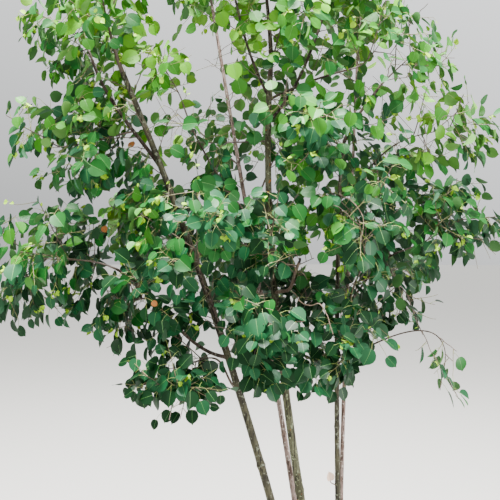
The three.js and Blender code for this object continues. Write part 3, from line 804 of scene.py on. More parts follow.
def bear_twig(mass, row, order):
    share = TWIGS_FROM + (1 - TWIGS_FROM) * (order + mass.draw() * PLACE_PLAY) / row["twigs"]
    turn = order * GOLDEN_ANGLE + mass.draw() * TURN_PLAY
    angle = lerp(*TWIG_ANGLES, share) + (mass.draw() - 0.5) * ANGLE_PLAY
    reach = row["spread"] * lerp(*TWIG_REACH, mass.draw())
    curve = first_fit(
        lambda i: twig_curve(mass.stem, share, turn, angle, reach * (1 - i * SHRINK)),
        lambda made: twig_fits(made, mass),
    )
    if curve is None:
        return
    mass.twigs.append(curve)
    at, radius = beads(curve, lambda share: lerp(TWIG_FOOT, TWIG_TIP, share))
    mass.twig_at = np.concatenate([mass.twig_at, at])
    mass.twig_radius = np.concatenate([mass.twig_radius, radius])
    bear_sprays(mass, curve, row["leaves"])


def grow_mass(stem, row, seed, around):
    """A mass as its solid has it: the twigs of its stem, and the sprays of both."""
    mass = SimpleNamespace(stem=stem, row=row, draw=seeded(seed), around=around, twigs=[], sprays=[])
    mass.twig_at, mass.twig_radius = beads(stem.curve, stem.radius_at)
    for order in range(row["twigs"]):
        bear_twig(mass, row, order)
    bear_sprays(mass, stem.curve, row["leaves"])
    return mass


@functools.cache
def all_masses():
    stems = {name: mass_stem(row) for name, row in MASSES.items()}
    spaces(stems)
    masses = {}
    for index, (name, row) in enumerate(MASSES.items()):
        mine = stems[name]
        rest = [beads(s.curve, s.radius_at) for other, s in stems.items() if other != name]
        at, radius = (np.concatenate(parts) for parts in zip(*all_limb_beads(), *rest))
        near = np.linalg.norm(at - mine.middle, axis=1) < mine.spread + SPRAY_LENGTH
        masses[name] = grow_mass(mine, row, FIRST_SEED + index * SEED_STEP, (at[near], radius[near]))
    return masses


# The finer growth: shoots, stalks and real leaves

CELLS_AROUND = list(itertools.product((-1, 0, 1), repeat=3))


class Growth:
    """Twigs and stalks as lines with their radii, leaves by tone, and the places already taken."""

    def __init__(self):
        self.twigs = []
        self.shoots = []
        self.stalks = []
        self.leaves = {tone: [] for tone in TONES}
        self.blades = {}
        self.sprays = [spray_middle(spray) for mass in all_masses().values() for spray in mass.sprays]

    def claim(self, middle):
        """Takes the place of a blade, unless another blade's middle is too close."""
        cell = [math.floor(c / BLADE_SPACING) for c in middle]
        for step in CELLS_AROUND:
            for other in self.blades.get(tuple(map(operator.add, cell, step)), ()):
                if math.dist(other, middle) < BLADE_SPACING:
                    return False
        self.blades.setdefault(tuple(cell), []).append(tuple(middle))
        return True

    def roomiest(self, choices):
        """Of pairs of a middle and what grows there, what has the most room, up to all that it needs.
        Places where the crown is thick count for more."""
        grown = np.array(self.sprays)
        gaps = [np.linalg.norm(grown - middle, axis=1).min() for middle, _ in choices]
        weights = [THICKET_WEIGHT if in_any(THICKETS, middle) else 1 for middle, _ in choices]
        return choices[int(np.argmax(np.minimum(gaps, ROOM_ENOUGH) * weights))][1]


def spray_middle(spray):
    return spray.base + spray.rib * spray.size * SPRAY_HEART


def scatter(draw, size):
    """A small push in a random direction."""
    return np.array([draw() - 0.5, draw() - 0.5, draw() - 0.5]) * 2 * size


def seen(point):
    """The x and z at which a point appears on the plane y = 0 from the front."""
    return (EYE + (point - EYE) * (EYE[1] / (EYE[1] - point[..., 1]))[..., None])[..., (0, 2)]


@functools.cache
def bare_stretches():
    """The limbs and bare wood that show: depths and places along each, how far it is clear, and the
    share of the leaves in front that are missing."""
    stretches = []
    for name, row in BARE_STRETCHES.items():
        line = all_limbs()[name].curve.point(np.linspace(*row["over"], STRETCH_POINTS))
        stretches.append((line[:, 1], seen(line), row["clear"], row["missing"]))
    for _, _, _, clear, course in BARE_WOOD:
        line = smooth_line(course)
        stretches.append((line[:, 1], seen(line), clear, BARE_MISSING))
    return stretches


def within(at, place):
    off = (at - place["at"]) / place["half"]
    return off @ off < 1


def in_any(places, point):
    at = seen(point)
    return any(within(at, place) for place in places.values())


def in_clearing(point, draw):
    """Whether a twig or leaf is missing at a point: in an open place, or in front of a bare stretch."""
    at = seen(point)
    for place in CLEARINGS.values():
        if within(at, place) and draw() < place["missing"]:
            return True
    for depth, line, clear, missing in bare_stretches():
        gaps = np.linalg.norm(line - at, axis=1)
        nearest = int(np.argmin(gaps))
        if gaps[nearest] < clear and point[1] < depth[nearest] and draw() < missing:
            return True
    return False


def pick_tone(point, draw):
    """A tone by chance, with painted shade that darkens it low in the crown and painted light that
    brightens it at its top and in full light.
    """
    low, high = PAINTED_SHADE_HEIGHTS
    height = min(1, max(0, (point[2] - low) / (high - low)))
    share = lerp(draw(), height, HEIGHT_SHARE)
    # painted light: leaves in the places in full light get brighter tones
    share = min(1, share + PAINTED_LIGHT_GAIN) if in_any(SUNLIT, point) else share
    return next(tone for tone, upto in SPRAY_TONES if share <= upto)


def light_at(point, lift):
    """Where a leaf turns its upper face: up, and away from the middle of the crown."""
    return unit(unit((point - CROWN_MIDDLE) * (1, 1, 0)) + UP * lift)


def bear_leaf(growth, mass, start, out, light, length, tone, draw):
    """A blade on a long thin stalk. It hangs over at the stalk's end with its face to the light."""
    stalk = length * lerp(*STALK_SHARES, draw())
    before, after = STALK_PARTS
    bend = start + out * stalk * before
    foot = bend + unit(out - UP * STALK_SAG) * stalk * after
    axis = unit(out * BLADE_OUT - UP * BLADE_DOWN + scatter(draw, BLADE_SCATTER))
    middle = foot + axis * length * 0.5
    at, radius = mass.around
    if np.any(np.linalg.norm(at - middle, axis=1) < radius + BLADE_MARGIN):
        return
    if not in_space(foot + axis * length, mass.stem, margin=-OVERHANG):
        return
    if in_clearing(middle, draw) or (tone != "young" and not growth.claim(middle)):
        return
    normal = square_to(axis, unit(light + scatter(draw, FACE_SCATTER)))[0]
    growth.stalks.append((np.array([start, bend, foot + axis * STALK_OVERLAP]), np.array(STALK_RADII)))
    growth.leaves[tone].append((foot, axis, normal, length, int(draw() * len(LEAF_SHAPES))))


def outerness(point):
    """From 0 within the crown to 1 at its outside and top, where the youngest leaves are."""
    off = (point - CROWN_MIDDLE) * (1, 1, 0)
    outwards = np.linalg.norm(off) / OUTSIDE_REACH - OUTSIDE
    return min(1, max(0, outwards, (point[2] - TOP_HEIGHT) / TOP_REACH))


def bear_tip(growth, mass, point, tangent, draw):
    """The cluster of small bright leaves that are just opening at a shoot's tip."""
    for _ in range(BUD_COUNT):
        out = unit(tangent + scatter(draw, BUD_SCATTER))
        length = lerp(*YOUNG_SIZES, draw())
        bear_leaf(growth, mass, point, out, light_at(point, BUD_LIFT), length, "young", draw)


def shoot_curve(spray, draw):
    """A shoot along its spray's rib, which ends where the blade at its tip begins."""
    tip = spray.base + spray.rib * shoot_reach(spray) + scatter(draw, SHOOT_SCATTER)
    end = unit(spray.rib + UP * lerp(*SHOOT_RISES, draw()))
    return Sweep(spray.base, spray.rib, tip, end), end


def shoot_reach(spray):
    return spray.size - LEAF_MM * SHOOT_END


def shoot_leaf_way(spray, order, place, draw):
    """Leaves point to either side in turn, and forwards towards the shoot's end."""
    side = spray.side * (-1 if order % 2 else 1)
    out = side * lerp(*SIDEWAYS, place**4) + spray.rib * lerp(*FORWARDS, place)
    return unit(out + spray.face * lerp(*UPWARDS, draw()))


def grow_shoot(growth, mass, spray, draw):
    """A shoot with leaves to both sides and one at its end, and opening leaves at some tips."""
    curve, end = shoot_curve(spray, draw)
    share = np.linspace(0, 1, SHOOT_POINTS)
    growth.shoots.append((curve.point(share), lerp(*SHOOT_RADII, share)))
    tip = curve.corners[-1]
    tone = pick_tone(tip, draw)
    count = max(2, round(shoot_reach(spray) / NODE_SPACING))
    for order in range(count + 1):
        place = (order + FIRST_LEAF) / (count + FIRST_LEAF)
        start = curve.point(place)
        out = shoot_leaf_way(spray, order, place, draw)
        length = LEAF_MM * lerp(*SHOOT_LEAF_SIZES, place) * lerp(*LEAF_SIZES, draw())
        light = unit(spray.face * SHOOT_LEAF_FACE + light_at(start, LEAF_LIFT))
        chosen = pick_tone(start, draw) if draw() < TONE_CHANGE else tone
        if draw() < DRY_CHANCE:
            chosen = "rust"
            length *= DRY_SIZE
        bear_leaf(growth, mass, start, out, light, length, chosen, draw)
    chance = SUNLIT_TIPS if in_any(SUNLIT, tip) else lerp(*TIP_CHANCES, outerness(tip))
    if draw() < chance:
        bear_tip(growth, mass, curve.point(1.0), end, draw)


def bear_leaves_along(growth, mass, curve, draw):
    """Leaves set singly round a twig, between its sprays."""
    leafy = 1 - LEAVES_FROM
    count = int(curve.length() * leafy / TWIG_NODE_SPACING)
    for k in range(count):
        place = LEAVES_FROM + leafy * (k + draw()) / count
        out = curve.away(place, k * GOLDEN_ANGLE + draw(), lerp(*LEAF_ANGLES, place))
        start = curve.point(place)
        length = LEAF_MM * lerp(*LEAF_SIZES, draw())
        light = light_at(start, LEAF_LIFT)
        bear_leaf(growth, mass, start, out, light, length, pick_tone(start, draw), draw)


def clear_of_limbs(curve, mass):
    at, radius = mass.around
    gaps = np.linalg.norm(curve.point(TWIG_CLEAR)[:, None] - at, axis=2)
    return bool(np.all(gaps > radius + TWIG_MARGIN))


def random_twig(host, share, kind, scale, draw):
    """A twig from the side of a curve. Chance picks its turn, angle, reach and the rise at its end."""
    leave = unit(host.away(share, draw() * math.tau, lerp(*kind["angles"], draw())) + UP * TWIG_RISE)
    start = host.point(share)
    tip = start + leave * scale * lerp(*kind["reach"], draw())
    return Sweep(start, leave, tip, unit(leave + UP * lerp(*kind["rises"], draw())))


def fine_twig(growth, mass, draw):
    """A finer twig, into the emptiest part of the mass's space that one of a few choices reaches."""
    hosts = (mass.stem.curve, *mass.twigs)
    choices = []
    for _ in range(CHOICES):
        host = hosts[int(draw() * len(hosts))]
        share = lerp(*FINE_TWIG["places"], draw())
        curve = random_twig(host, share, FINE_TWIG, mass.stem.spread, draw)
        tip = curve.corners[-1]
        if in_space(tip, mass.stem) and clear_of_limbs(curve, mass) and not in_clearing(tip, draw):
            choices.append((tip, curve))
    return growth.roomiest(choices) if choices else None


def side_twig(growth, home, limb, share, draw):
    """A short twig from the side of a limb, towards the most room."""
    choices = []
    for _ in range(CHOICES):
        curve = random_twig(limb.curve, share, SIDE_TWIG, 1, draw)
        tip = curve.corners[-1]
        if clear_of_limbs(curve, home) and not in_clearing(tip, draw):
            choices.append((tip, curve))
    return growth.roomiest(choices) if choices else None


def fine_spray(growth, mass, hosts, draw):
    """A further spray, where there is most room for it."""
    choices = []
    for _ in range(CHOICES):
        curve = hosts[int(draw() * len(hosts))]
        size = SPRAY_LENGTH * lerp(*FINE_SPRAY_SIZES, draw())
        share = lerp(*FINE_SPRAY_PLACES, draw())
        spray = spray_on(curve, share, draw() * math.tau, size, spray_tilt(draw))
        if in_space(spray.rim[2], mass.stem) and not in_clearing(spray.rim[2], draw):
            choices.append((spray_middle(spray), spray))
    if not choices:
        return None
    spray = growth.roomiest(choices)
    growth.sprays.append(spray_middle(spray))
    return spray


def twig_line(curve, radii, draw):
    """A twig's points, a little off its curve, with its radii."""
    share = np.linspace(0, 1, TWIG_POINTS)
    line = curve.point(share)
    line[1:-1] += np.array([scatter(draw, TWIG_WOBBLE) for _ in line[1:-1]])
    return line, lerp(*radii, share)


def home_of(limb):
    """The space round a limb, with no bounds towards the masses, and the limbs that cross it."""
    length = limb.curve.length()
    middle = limb.curve.point(0.5)
    bounds = dict(planes=np.zeros((0, 3)), splits=np.zeros(0), spread=length)
    at, radius = (np.concatenate(parts) for parts in zip(*all_limb_beads()))
    near = np.linalg.norm(at - middle, axis=1) < length
    return SimpleNamespace(stem=SimpleNamespace(middle=middle, **bounds), around=(at[near], radius[near]))


def grow_side_twigs(growth, limb, fullness, draw):
    """Side twigs along the part of a limb that stands in the crown, each with a spray or two."""
    home = home_of(limb)
    count = int(limb.curve.length() / SIDE_TWIG_PITCH * fullness)
    for k in range(count):
        share = (k + draw()) / count
        if limb.curve.point(share)[2] < CLEAR_STEM:
            continue
        curve = side_twig(growth, home, limb, share, draw)
        if curve is None:
            continue
        growth.twigs.append(twig_line(curve, SIDE_TWIG["radii"], draw))
        grow_shoots(growth, home, [curve], SIDE_SPRAYS, draw)
        bear_leaves_along(growth, home, curve, draw)


def grow_shoots(growth, mass, hosts, count, draw):
    """Further sprays on twigs, each grown as a shoot."""
    for _ in range(count):
        spray = fine_spray(growth, mass, hosts, draw)
        if spray:
            grow_shoot(growth, mass, spray, draw)


def grow_finer(growth, mass, fullness, draw):
    """The mass as its solid has it, with finer twigs, further sprays and single leaves."""
    share = np.linspace(0, 1, MASS_STEM_POINTS)
    radii = mass.stem.radius_at(share) * lerp(1, MASS_STEM_TAPER, share)
    growth.twigs.append((mass.stem.curve.point(share), radii))
    growth.twigs += [twig_line(curve, TWIG_RADII, draw) for curve in mass.twigs]
    for spray in mass.sprays:
        grow_shoot(growth, mass, spray, draw)
    richness = (mass.row["leaves"] - FEWEST_LEAVES) * fullness
    fine = [fine_twig(growth, mass, draw) for _ in range(round(FINE_TWIGS * richness))]
    fine = [curve for curve in fine if curve]
    growth.twigs += [twig_line(curve, FINE_TWIG["radii"], draw) for curve in fine]
    hosts = (mass.stem.curve, *mass.twigs, *fine)
    grow_shoots(growth, mass, hosts, round(FINE_SHOOTS * richness), draw)
    for curve in hosts:
        bear_leaves_along(growth, mass, curve, draw)


@functools.cache
def all_growth():
    growth = Growth()
    for index, (name, mass) in enumerate(all_masses().items()):
        grow_finer(growth, mass, FULLNESS.get(name, 1), seeded(FINE_SEED + index))
    for index, (name, limb) in enumerate(all_limbs().items()):
        grow_side_twigs(growth, limb, SIDE_FULLNESS.get(name, 1), seeded(FINE_SEED - 1 - index))
    return growth


# Node trees and materials


def linear(hex_colour):
    """An sRGB hex colour as the linear colour that Blender's sockets hold."""
    channels = [int(hex_colour[i : i + 2], 16) / 255 for i in (1, 3, 5)]
    return (*(c / 12.92 if c <= 0.04045 else ((c + 0.055) / 1.055) ** 2.4 for c in channels), 1.0)


def scale_for(size):
    """The scale of a pattern whose features are this many millimetres apart."""
    return 1 / (size * MM)


def connect(tree, made, inputs):
    """Fills a node's inputs with values, nodes or their outputs."""
    for socket, value in inputs.items():
        if isinstance(value, bpy.types.Node):
            value = next(output for output in value.outputs if output.enabled)
        if isinstance(value, bpy.types.NodeSocket):
            tree.links.new(value, made.inputs[socket])
        else:
            made.inputs[socket].default_value = value


def node(tree, kind, inputs=None, **settings):
    """Adds a node with its settings and what its inputs hold."""
    made = tree.nodes.new(kind)
    for name, value in settings.items():
        setattr(made, name, value)
    connect(tree, made, inputs or {})
    return made


def new_material(name, colour, roughness, specular=0.5):
    """A material whose Principled shader has a plain linear colour, roughness and specular level."""
    material = bpy.data.materials.new(name)
    material.use_nodes = True
    material.diffuse_color = colour
    tree = material.node_tree
    shader = tree.nodes["Principled BSDF"]
    connect(tree, shader, {"Base Color": colour, "Roughness": roughness, "Specular IOR Level": specular})
    return material, tree, shader


def bark(name, ground, patch, crack, lichen, spots):
    """Young poplar bark: smooth and waxy, with drifts of another tone, fine upright cracks, rows of
    raised breathing pores a few millimetres wide, pale crusts of lichen and its rare bright spots. The
    grit of its skin is drawn coarser than it is, at over a millimetre, so that it shows."""
    material, tree, shader = new_material(name, linear(ground), roughness=0.75, specular=0.2)
    place = node(tree, "ShaderNodeTexCoord").outputs["Object"]
    upright = node(tree, "ShaderNodeMapping", {"Vector": place, "Scale": (1, 1, 0.14)})
    level = node(tree, "ShaderNodeMapping", {"Vector": place, "Scale": (1, 1, 2.6)})
    patterns = {}
    for part, vector, size, detail in (
        ("drifts", place, 45, 4),
        ("cracks", upright, 5, 4),
        ("crusts", place, 9, 6),
        ("spots", place, 13, 1),
        ("grit", place, 1.2, 2),
    ):
        noise = {"Vector": vector, "Scale": scale_for(size), "Detail": detail}
        patterns[part] = node(tree, "ShaderNodeTexNoise", noise)
    patterns["pores"] = node(tree, "ShaderNodeTexVoronoi", {"Vector": level, "Scale": scale_for(11)})
    colour = linear(ground)
    shares = {}
    for part, low, high, over in (
        ("drifts", 0.35, 0.65, patch),
        ("cracks", 0.5, 0.62, crack),
        ("pores", 0.2, 0.1, crack),
        ("crusts", 0.56, 0.68, lichen),
        ("spots", 0.71, 0.75, spots),
    ):
        band = {"Value": patterns[part], "From Min": low, "From Max": high}
        shares[part] = node(tree, "ShaderNodeMapRange", band, interpolation_type="SMOOTHSTEP")
        mixed = {"Factor": shares[part], 6: colour, 7: linear(over)}
        colour = node(tree, "ShaderNodeMix", mixed, data_type="RGBA")
    height = node(tree, "ShaderNodeMath", {0: shares["pores"], 1: shares["cracks"]}, operation="SUBTRACT")
    for raised, weight in ((patterns["grit"], 0.35), (shares["crusts"], 0.5)):
        height = node(tree, "ShaderNodeMath", {0: raised, 1: weight, 2: height}, operation="MULTIPLY_ADD")
    bump = node(tree, "ShaderNodeBump", {"Strength": 0.55, "Distance": 0.001, "Height": height})
    rough = {"Value": patterns["grit"], "From Min": 0.2, "From Max": 0.8, "To Min": 0.62, "To Max": 0.88}
    rough = node(tree, "ShaderNodeMapRange", rough)
    connect(tree, shader, {"Base Color": colour, "Normal": bump, "Roughness": rough})
    return material


def young_wood(name, colour, shade, roughness):
    """The skin of a year-old twig or a leaf's stalk: thin, tight and a little glossy, mottled over a
    few millimetres. Dead wood is duller."""
    material, tree, shader = new_material(name, linear(colour), roughness)
    place = node(tree, "ShaderNodeTexCoord").outputs["Object"]
    mottle = node(tree, "ShaderNodeTexNoise", {"Vector": place, "Scale": scale_for(8), "Detail": 2})
    share = node(tree, "ShaderNodeMapRange", {"Value": mottle, "From Min": 0.35, "From Max": 0.65})
    inputs = {"Factor": share, 6: linear(colour), 7: linear(shade)}
    mixed = node(tree, "ShaderNodeMix", inputs, data_type="RGBA")
    bump = node(tree, "ShaderNodeBump", {"Strength": 0.2, "Distance": 0.0002, "Height": mottle})
    connect(tree, shader, {"Base Color": mixed, "Normal": bump})
    return material


def leaf_skin(name, colour, roughness, specular):
    """A poplar leaf's skin: waxy and half glossy on the upper side, dull below. Its plain colour is
    dealt out by spray. Puckers a few millimetres wide break up its shine."""
    material, tree, shader = new_material(name, colour, roughness, specular)
    place = node(tree, "ShaderNodeTexCoord").outputs["Object"]
    pucker = node(tree, "ShaderNodeTexNoise", {"Vector": place, "Scale": scale_for(7), "Detail": 2})
    bump = node(tree, "ShaderNodeBump", {"Strength": 0.3, "Distance": 0.0006, "Height": pucker})
    connect(tree, shader, {"Normal": bump})
    return material


def new_tree(name, sockets):
    """A geometry tree with named inputs and one output, and its inputs as its nodes read them."""
    tree = bpy.data.node_groups.new(name, "GeometryNodeTree")
    tree.interface.new_socket("Geometry", in_out="INPUT", socket_type="NodeSocketGeometry")
    for label, kind in sockets.items():
        tree.interface.new_socket(label, in_out="INPUT", socket_type="NodeSocket" + kind)
    tree.interface.new_socket("Geometry", in_out="OUTPUT", socket_type="NodeSocketGeometry")
    return tree, tree.nodes.new("NodeGroupInput").outputs


def end_wood_tree(tree, geometry, material):
    """Ends a tree of wood: instances made real, faces smooth, and the material set."""
    real = node(tree, "GeometryNodeRealizeInstances", {"Geometry": geometry})
    smooth = node(tree, "GeometryNodeSetShadeSmooth", {"Geometry": real})
    last = node(tree, "GeometryNodeSetMaterial", {"Geometry": smooth, "Material": material})
    node(tree, "NodeGroupOutput", {"Geometry": last})


def tube_along(tree, lines, sides):
    """Carries a ring along lines, as wide as their thickness."""
    ring = node(tree, "GeometryNodeCurvePrimitiveCircle", {"Resolution": sides, "Radius": 1.0})
    thickness = node(tree, "GeometryNodeInputNamedAttribute", {"Name": "thickness"}, data_type="FLOAT")
    swept = {"Curve": lines, "Profile Curve": ring, "Fill Caps": True, "Scale": thickness.outputs[0]}
    return node(tree, "GeometryNodeCurveToMesh", swept)


@functools.cache
def round_wood_tree():
    """Plain round wood along every line of a mesh."""
    tree, inputs = new_tree("round_wood", {"Sides": "Int", "Material": "Material"})
    lines = node(tree, "GeometryNodeMeshToCurve", {"Mesh": inputs["Geometry"]})
    end_wood_tree(tree, tube_along(tree, lines, inputs["Sides"]), inputs["Material"])
    return tree


def relief(tree, geometry, depth):
    """Pushes bark in and out along its normals: low swellings, upright furrows and level pores, drawn
    coarser than in the material, so that the rings can carry them."""
    place = node(tree, "GeometryNodeInputPosition")
    upright = node(tree, "ShaderNodeVectorMath", {0: place, 1: (1, 1, 0.16)}, operation="MULTIPLY")
    level = node(tree, "ShaderNodeVectorMath", {0: place, 1: (1, 1, 2.6)}, operation="MULTIPLY")
    swell = {"Vector": place, "Scale": scale_for(50), "Detail": 2}
    furrow = {"Vector": upright, "Scale": scale_for(9), "Detail": 2}
    swell, furrow = (node(tree, "ShaderNodeTexNoise", noise) for noise in (swell, furrow))
    pores = node(tree, "ShaderNodeTexVoronoi", {"Vector": level, "Scale": scale_for(22)})
    pore = node(tree, "ShaderNodeMapRange", {"Value": pores, "From Min": 0.3, "From Max": 0.1})
    height = -1.2  # half the weight of the swellings, so that they go both in and out
    for pattern, weight in ((swell, 2.4), (furrow, 1.6), (pore, 0.5)):
        sums = {0: pattern, 1: weight, 2: height}
        height = node(tree, "ShaderNodeMath", sums, operation="MULTIPLY_ADD")
    height = node(tree, "ShaderNodeMath", {0: height, 1: -0.8}, operation="ADD")
    height = node(tree, "ShaderNodeMath", {0: height, 1: depth}, operation="MULTIPLY")
    normal = node(tree, "GeometryNodeInputNormal")
    offset = node(tree, "ShaderNodeVectorMath", {0: normal, "Scale": height}, operation="SCALE")
    return node(tree, "GeometryNodeSetPosition", {"Geometry": geometry, "Offset": offset})


@functools.cache
def bark_tree():
    """A limb of closely set rings along a line, with the bark's relief."""
    sockets = {"Ring spacing": "Float", "Sides": "Int", "Relief": "Float", "Material": "Material"}
    tree, inputs = new_tree("relief_bark", sockets)
    line = node(tree, "GeometryNodeMeshToCurve", {"Mesh": inputs["Geometry"]})
    fine = {"Curve": line, "Length": inputs["Ring spacing"]}
    line = node(tree, "GeometryNodeResampleCurve", fine, mode="LENGTH")
    tube = tube_along(tree, line, inputs["Sides"])
    end_wood_tree(tree, relief(tree, tube, inputs["Relief"]), inputs["Material"])
    return tree


def crown_tree():
    """Relief on the root crown's own mesh."""
    tree, inputs = new_tree("relief_root_crown", {"Relief": "Float", "Material": "Material"})
    raised = relief(tree, inputs["Geometry"], inputs["Relief"])
    end_wood_tree(tree, raised, inputs["Material"])
    return tree


@functools.cache
def leaf_tree():
    """Sets one of the leaf forms on every point, turned and sized as the point says."""
    sockets = {"Leaf forms": "Collection"}
    sockets |= {part: "Material" for part in ("Upper side", "Midrib", "Underside")}
    tree, inputs = new_tree("leaf_sprays", sockets)
    forms = {"Collection": inputs["Leaf forms"], "Separate Children": True}
    forms = node(tree, "GeometryNodeCollectionInfo", forms)
    placed = {"Points": inputs["Geometry"], "Instance": forms, "Pick Instance": True}
    for socket, label, kind in (
        ("Instance Index", "form", "INT"),
        ("Rotation", "turn", "QUATERNION"),
        ("Scale", "length", "FLOAT"),
    ):
        carried = node(tree, "GeometryNodeInputNamedAttribute", {"Name": label}, data_type=kind)
        placed[socket] = carried.outputs[0]
    leaves = node(tree, "GeometryNodeInstanceOnPoints", placed)
    real = node(tree, "GeometryNodeRealizeInstances", {"Geometry": leaves})
    last = node(tree, "GeometryNodeSetMaterial", {"Geometry": real, "Material": inputs["Upper side"]})
    for part in ("Midrib", "Underside"):
        flagged = {"Name": part.lower()}
        flagged = node(tree, "GeometryNodeInputNamedAttribute", flagged, data_type="BOOLEAN")
        painted = {"Geometry": last, "Selection": flagged.outputs[0], "Material": inputs[part]}
        last = node(tree, "GeometryNodeSetMaterial", painted)
    node(tree, "NodeGroupOutput", {"Geometry": last})
    return tree


# Meshes


def new_object(name, data):
    made = bpy.data.objects.new(name, data)
    bpy.context.scene.collection.objects.link(made)
    return made


def finish_tree(made, tree, values):
    """Runs a geometry tree on an object and keeps the result as its plain mesh."""
    modifier = made.modifiers.new(tree.name, "NODES")
    modifier.node_group = tree
    sockets = {item.name: item.identifier for item in tree.interface.items_tree if item.in_out == "INPUT"}
    for label, value in values.items():
        modifier[sockets[label]] = value
    graph = bpy.context.evaluated_depsgraph_get()
    mesh = bpy.data.meshes.new_from_object(made.evaluated_get(graph), depsgraph=graph)
    made.modifiers.clear()
    made.data = mesh
    mesh.name = made.name
    return made


def lines_object(name, lines):
    """Lines of points as one mesh of edges, with each point's radius as its thickness."""
    mesh = bpy.data.meshes.new(name)
    points = np.concatenate([line for line, _ in lines]) * MM
    radii = np.concatenate([radius for _, radius in lines]) * MM
    edges = []
    first = 0
    for line, _ in lines:
        edges += [(first + i, first + i + 1) for i in range(len(line) - 1)]
        first += len(line)
    mesh.from_pydata(points.tolist(), edges, [])
    thickness = mesh.attributes.new("thickness", "FLOAT", "POINT")
    thickness.data.foreach_set("value", radii.astype(np.float32))
    return new_object(name, mesh)


def round_wood(name, lines, sides, skin):
    """Thin wood along lines, all of one kind, as one piece."""
    return finish_tree(lines_object(name, lines), round_wood_tree(), {"Sides": sides, "Material": skin})


def dress(piece, nodes):
    """Sets a finished piece on the root's body and hides the solids that it stands for."""
    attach(piece, "root")
    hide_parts(*nodes)


STATIONS = (0.02, 0.1, 0.25, 0.45, 0.65, 0.8, 0.9)  # shares of a blade's length
BLADE_HALF = 0.46  # half its greatest width, as a share of its length,
BLADE_WIDEST = 0.42  # where along it that is,
BLADE_FADE = 0.5  # and how far from there it has narrowed to nothing
BLADE_POWERS = (2.1, 0.7)  # these round its sides and draw out its point
BLADE_THICKNESS = 0.45
MIDRIB = 0.011  # half its width, as a share of the blade's length
MIDRIB_TAPER = 0.6
RIM_WAVE = (4, 2)  # how far the rim's wave turns along a blade and across it, in radians


def half_width(u):
    """Half the width of a rounded poplar leaf with a short point, at a share of its length."""
    side, point = BLADE_POWERS
    return BLADE_HALF * max(0, 1 - abs((u - BLADE_WIDEST) / BLADE_FADE) ** side) ** point


def strip(a, b, c, d, rim_first):
    """The two triangles between a, b and c, d. Both skins of a leaf split theirs the same way, from the
    rim, so that neither comes through the other."""
    made = ((a, b, d), (a, d, c)) if rim_first else ((a, b, c), (b, d, c))
    return [face for face in made if len(set(face)) == 3]


def leaf_points_of(fold, droop, wave, twist):
    """A leaf's foot and tip, and at every station its two rims, both sides of its midrib and the
    middle of its underside."""

    def at(u, x, below=0.0):
        v = x / half_width(u) if u < 1 else 0.0
        ripple = wave * math.sin(RIM_WAVE[0] * u + RIM_WAVE[1] * v) * abs(v)
        rise = fold * abs(x) - droop * u * u + ripple + twist * x * u
        return (x, u, rise - below)

    points = [(0.0, 0.0, 0.0), at(1.0, 0)]
    for u in STATIONS:
        rib = MIDRIB * (1 - MIDRIB_TAPER * u)
        points += [at(u, x) for x in (-half_width(u), -rib, rib, half_width(u))]
        points.append(at(u, 0, BLADE_THICKNESS / LEAF_MM))
    return points


def station_point(station, column):
    """The index of a point at a station: its five points follow the leaf's foot and tip."""
    return 2 + 5 * station + column


def leaf_faces():
    """The triangles of both skins, with the part of the leaf that each belongs to."""
    faces = []
    parts = []
    for columns, kinds in (((0, 1, 2, 3), ("upper", "midrib", "upper")), ((3, 4, 0), ("underside",) * 2)):
        rows = [[station_point(i, column) for column in columns] for i in range(len(STATIONS))]
        rows = [[0] * len(columns), *rows, [1] * len(columns)]
        for near, far in itertools.pairwise(rows):
            for k, kind in enumerate(kinds):
                made = strip(near[k], near[k + 1], far[k], far[k + 1], rim_first=k == 0)
                faces += made
                parts += [kind] * len(made)
    return faces, parts


def leaf_form(name, shape):
    """A closed leaf of unit length, thin at its rim, folded along its midrib and bent over."""
    faces, parts = leaf_faces()
    mesh = bpy.data.meshes.new(name)
    mesh.from_pydata(leaf_points_of(*shape), [], faces)
    mesh.shade_smooth()
    for part in ("midrib", "underside"):
        flags = [part == own for own in parts]
        mesh.attributes.new(part, "BOOLEAN", "FACE").data.foreach_set("value", flags)
    rim = {0, 1} | {station_point(i, j) for i in range(len(STATIONS)) for j in (0, 3)}
    flags = [set(edge.vertices) <= rim for edge in mesh.edges]
    mesh.attributes.new("sharp_edge", "BOOLEAN", "EDGE").data.foreach_set("value", flags)
    return bpy.data.objects.new(name, mesh)


@functools.cache
def leaf_forms():
    """Leaves that are bent in different ways, so that no two neighbours look the same."""
    forms = bpy.data.collections.new("leaf_forms")
    for index, shape in enumerate(LEAF_SHAPES):
        forms.objects.link(leaf_form(f"leaf_form_{index}", shape))
    return forms


def leaf_points(name, leaves):
    """Points that carry each leaf's turn, length and form."""
    mesh = bpy.data.meshes.new(name)
    mesh.from_pydata([tuple(foot * MM) for foot, *_ in leaves], [], [])
    turns = []
    for _, axis, normal, _, _ in leaves:
        turns.append(Matrix(np.array([np.cross(axis, normal), axis, normal]).T.tolist()).to_quaternion())
    values = {
        ("turn", "QUATERNION"): [x for turn in turns for x in turn],
        ("length", "FLOAT"): [leaf[3] * MM for leaf in leaves],
        ("form", "INT"): [leaf[4] for leaf in leaves],
    }
    for (label, kind), data in values.items():
        mesh.attributes.new(label, kind, "POINT").data.foreach_set("value", data)
    return new_object(name, mesh)


def real_leaves(name, leaves, upper, midrib, underside):
    """Leaves at their places, all of one tone, as one piece."""
    skins = {"Upper side": upper, "Midrib": midrib, "Underside": underside}
    return finish_tree(leaf_points(name, leaves), leaf_tree(), {"Leaf forms": leaf_forms(), **skins})


# Sizes and colours that a user would change


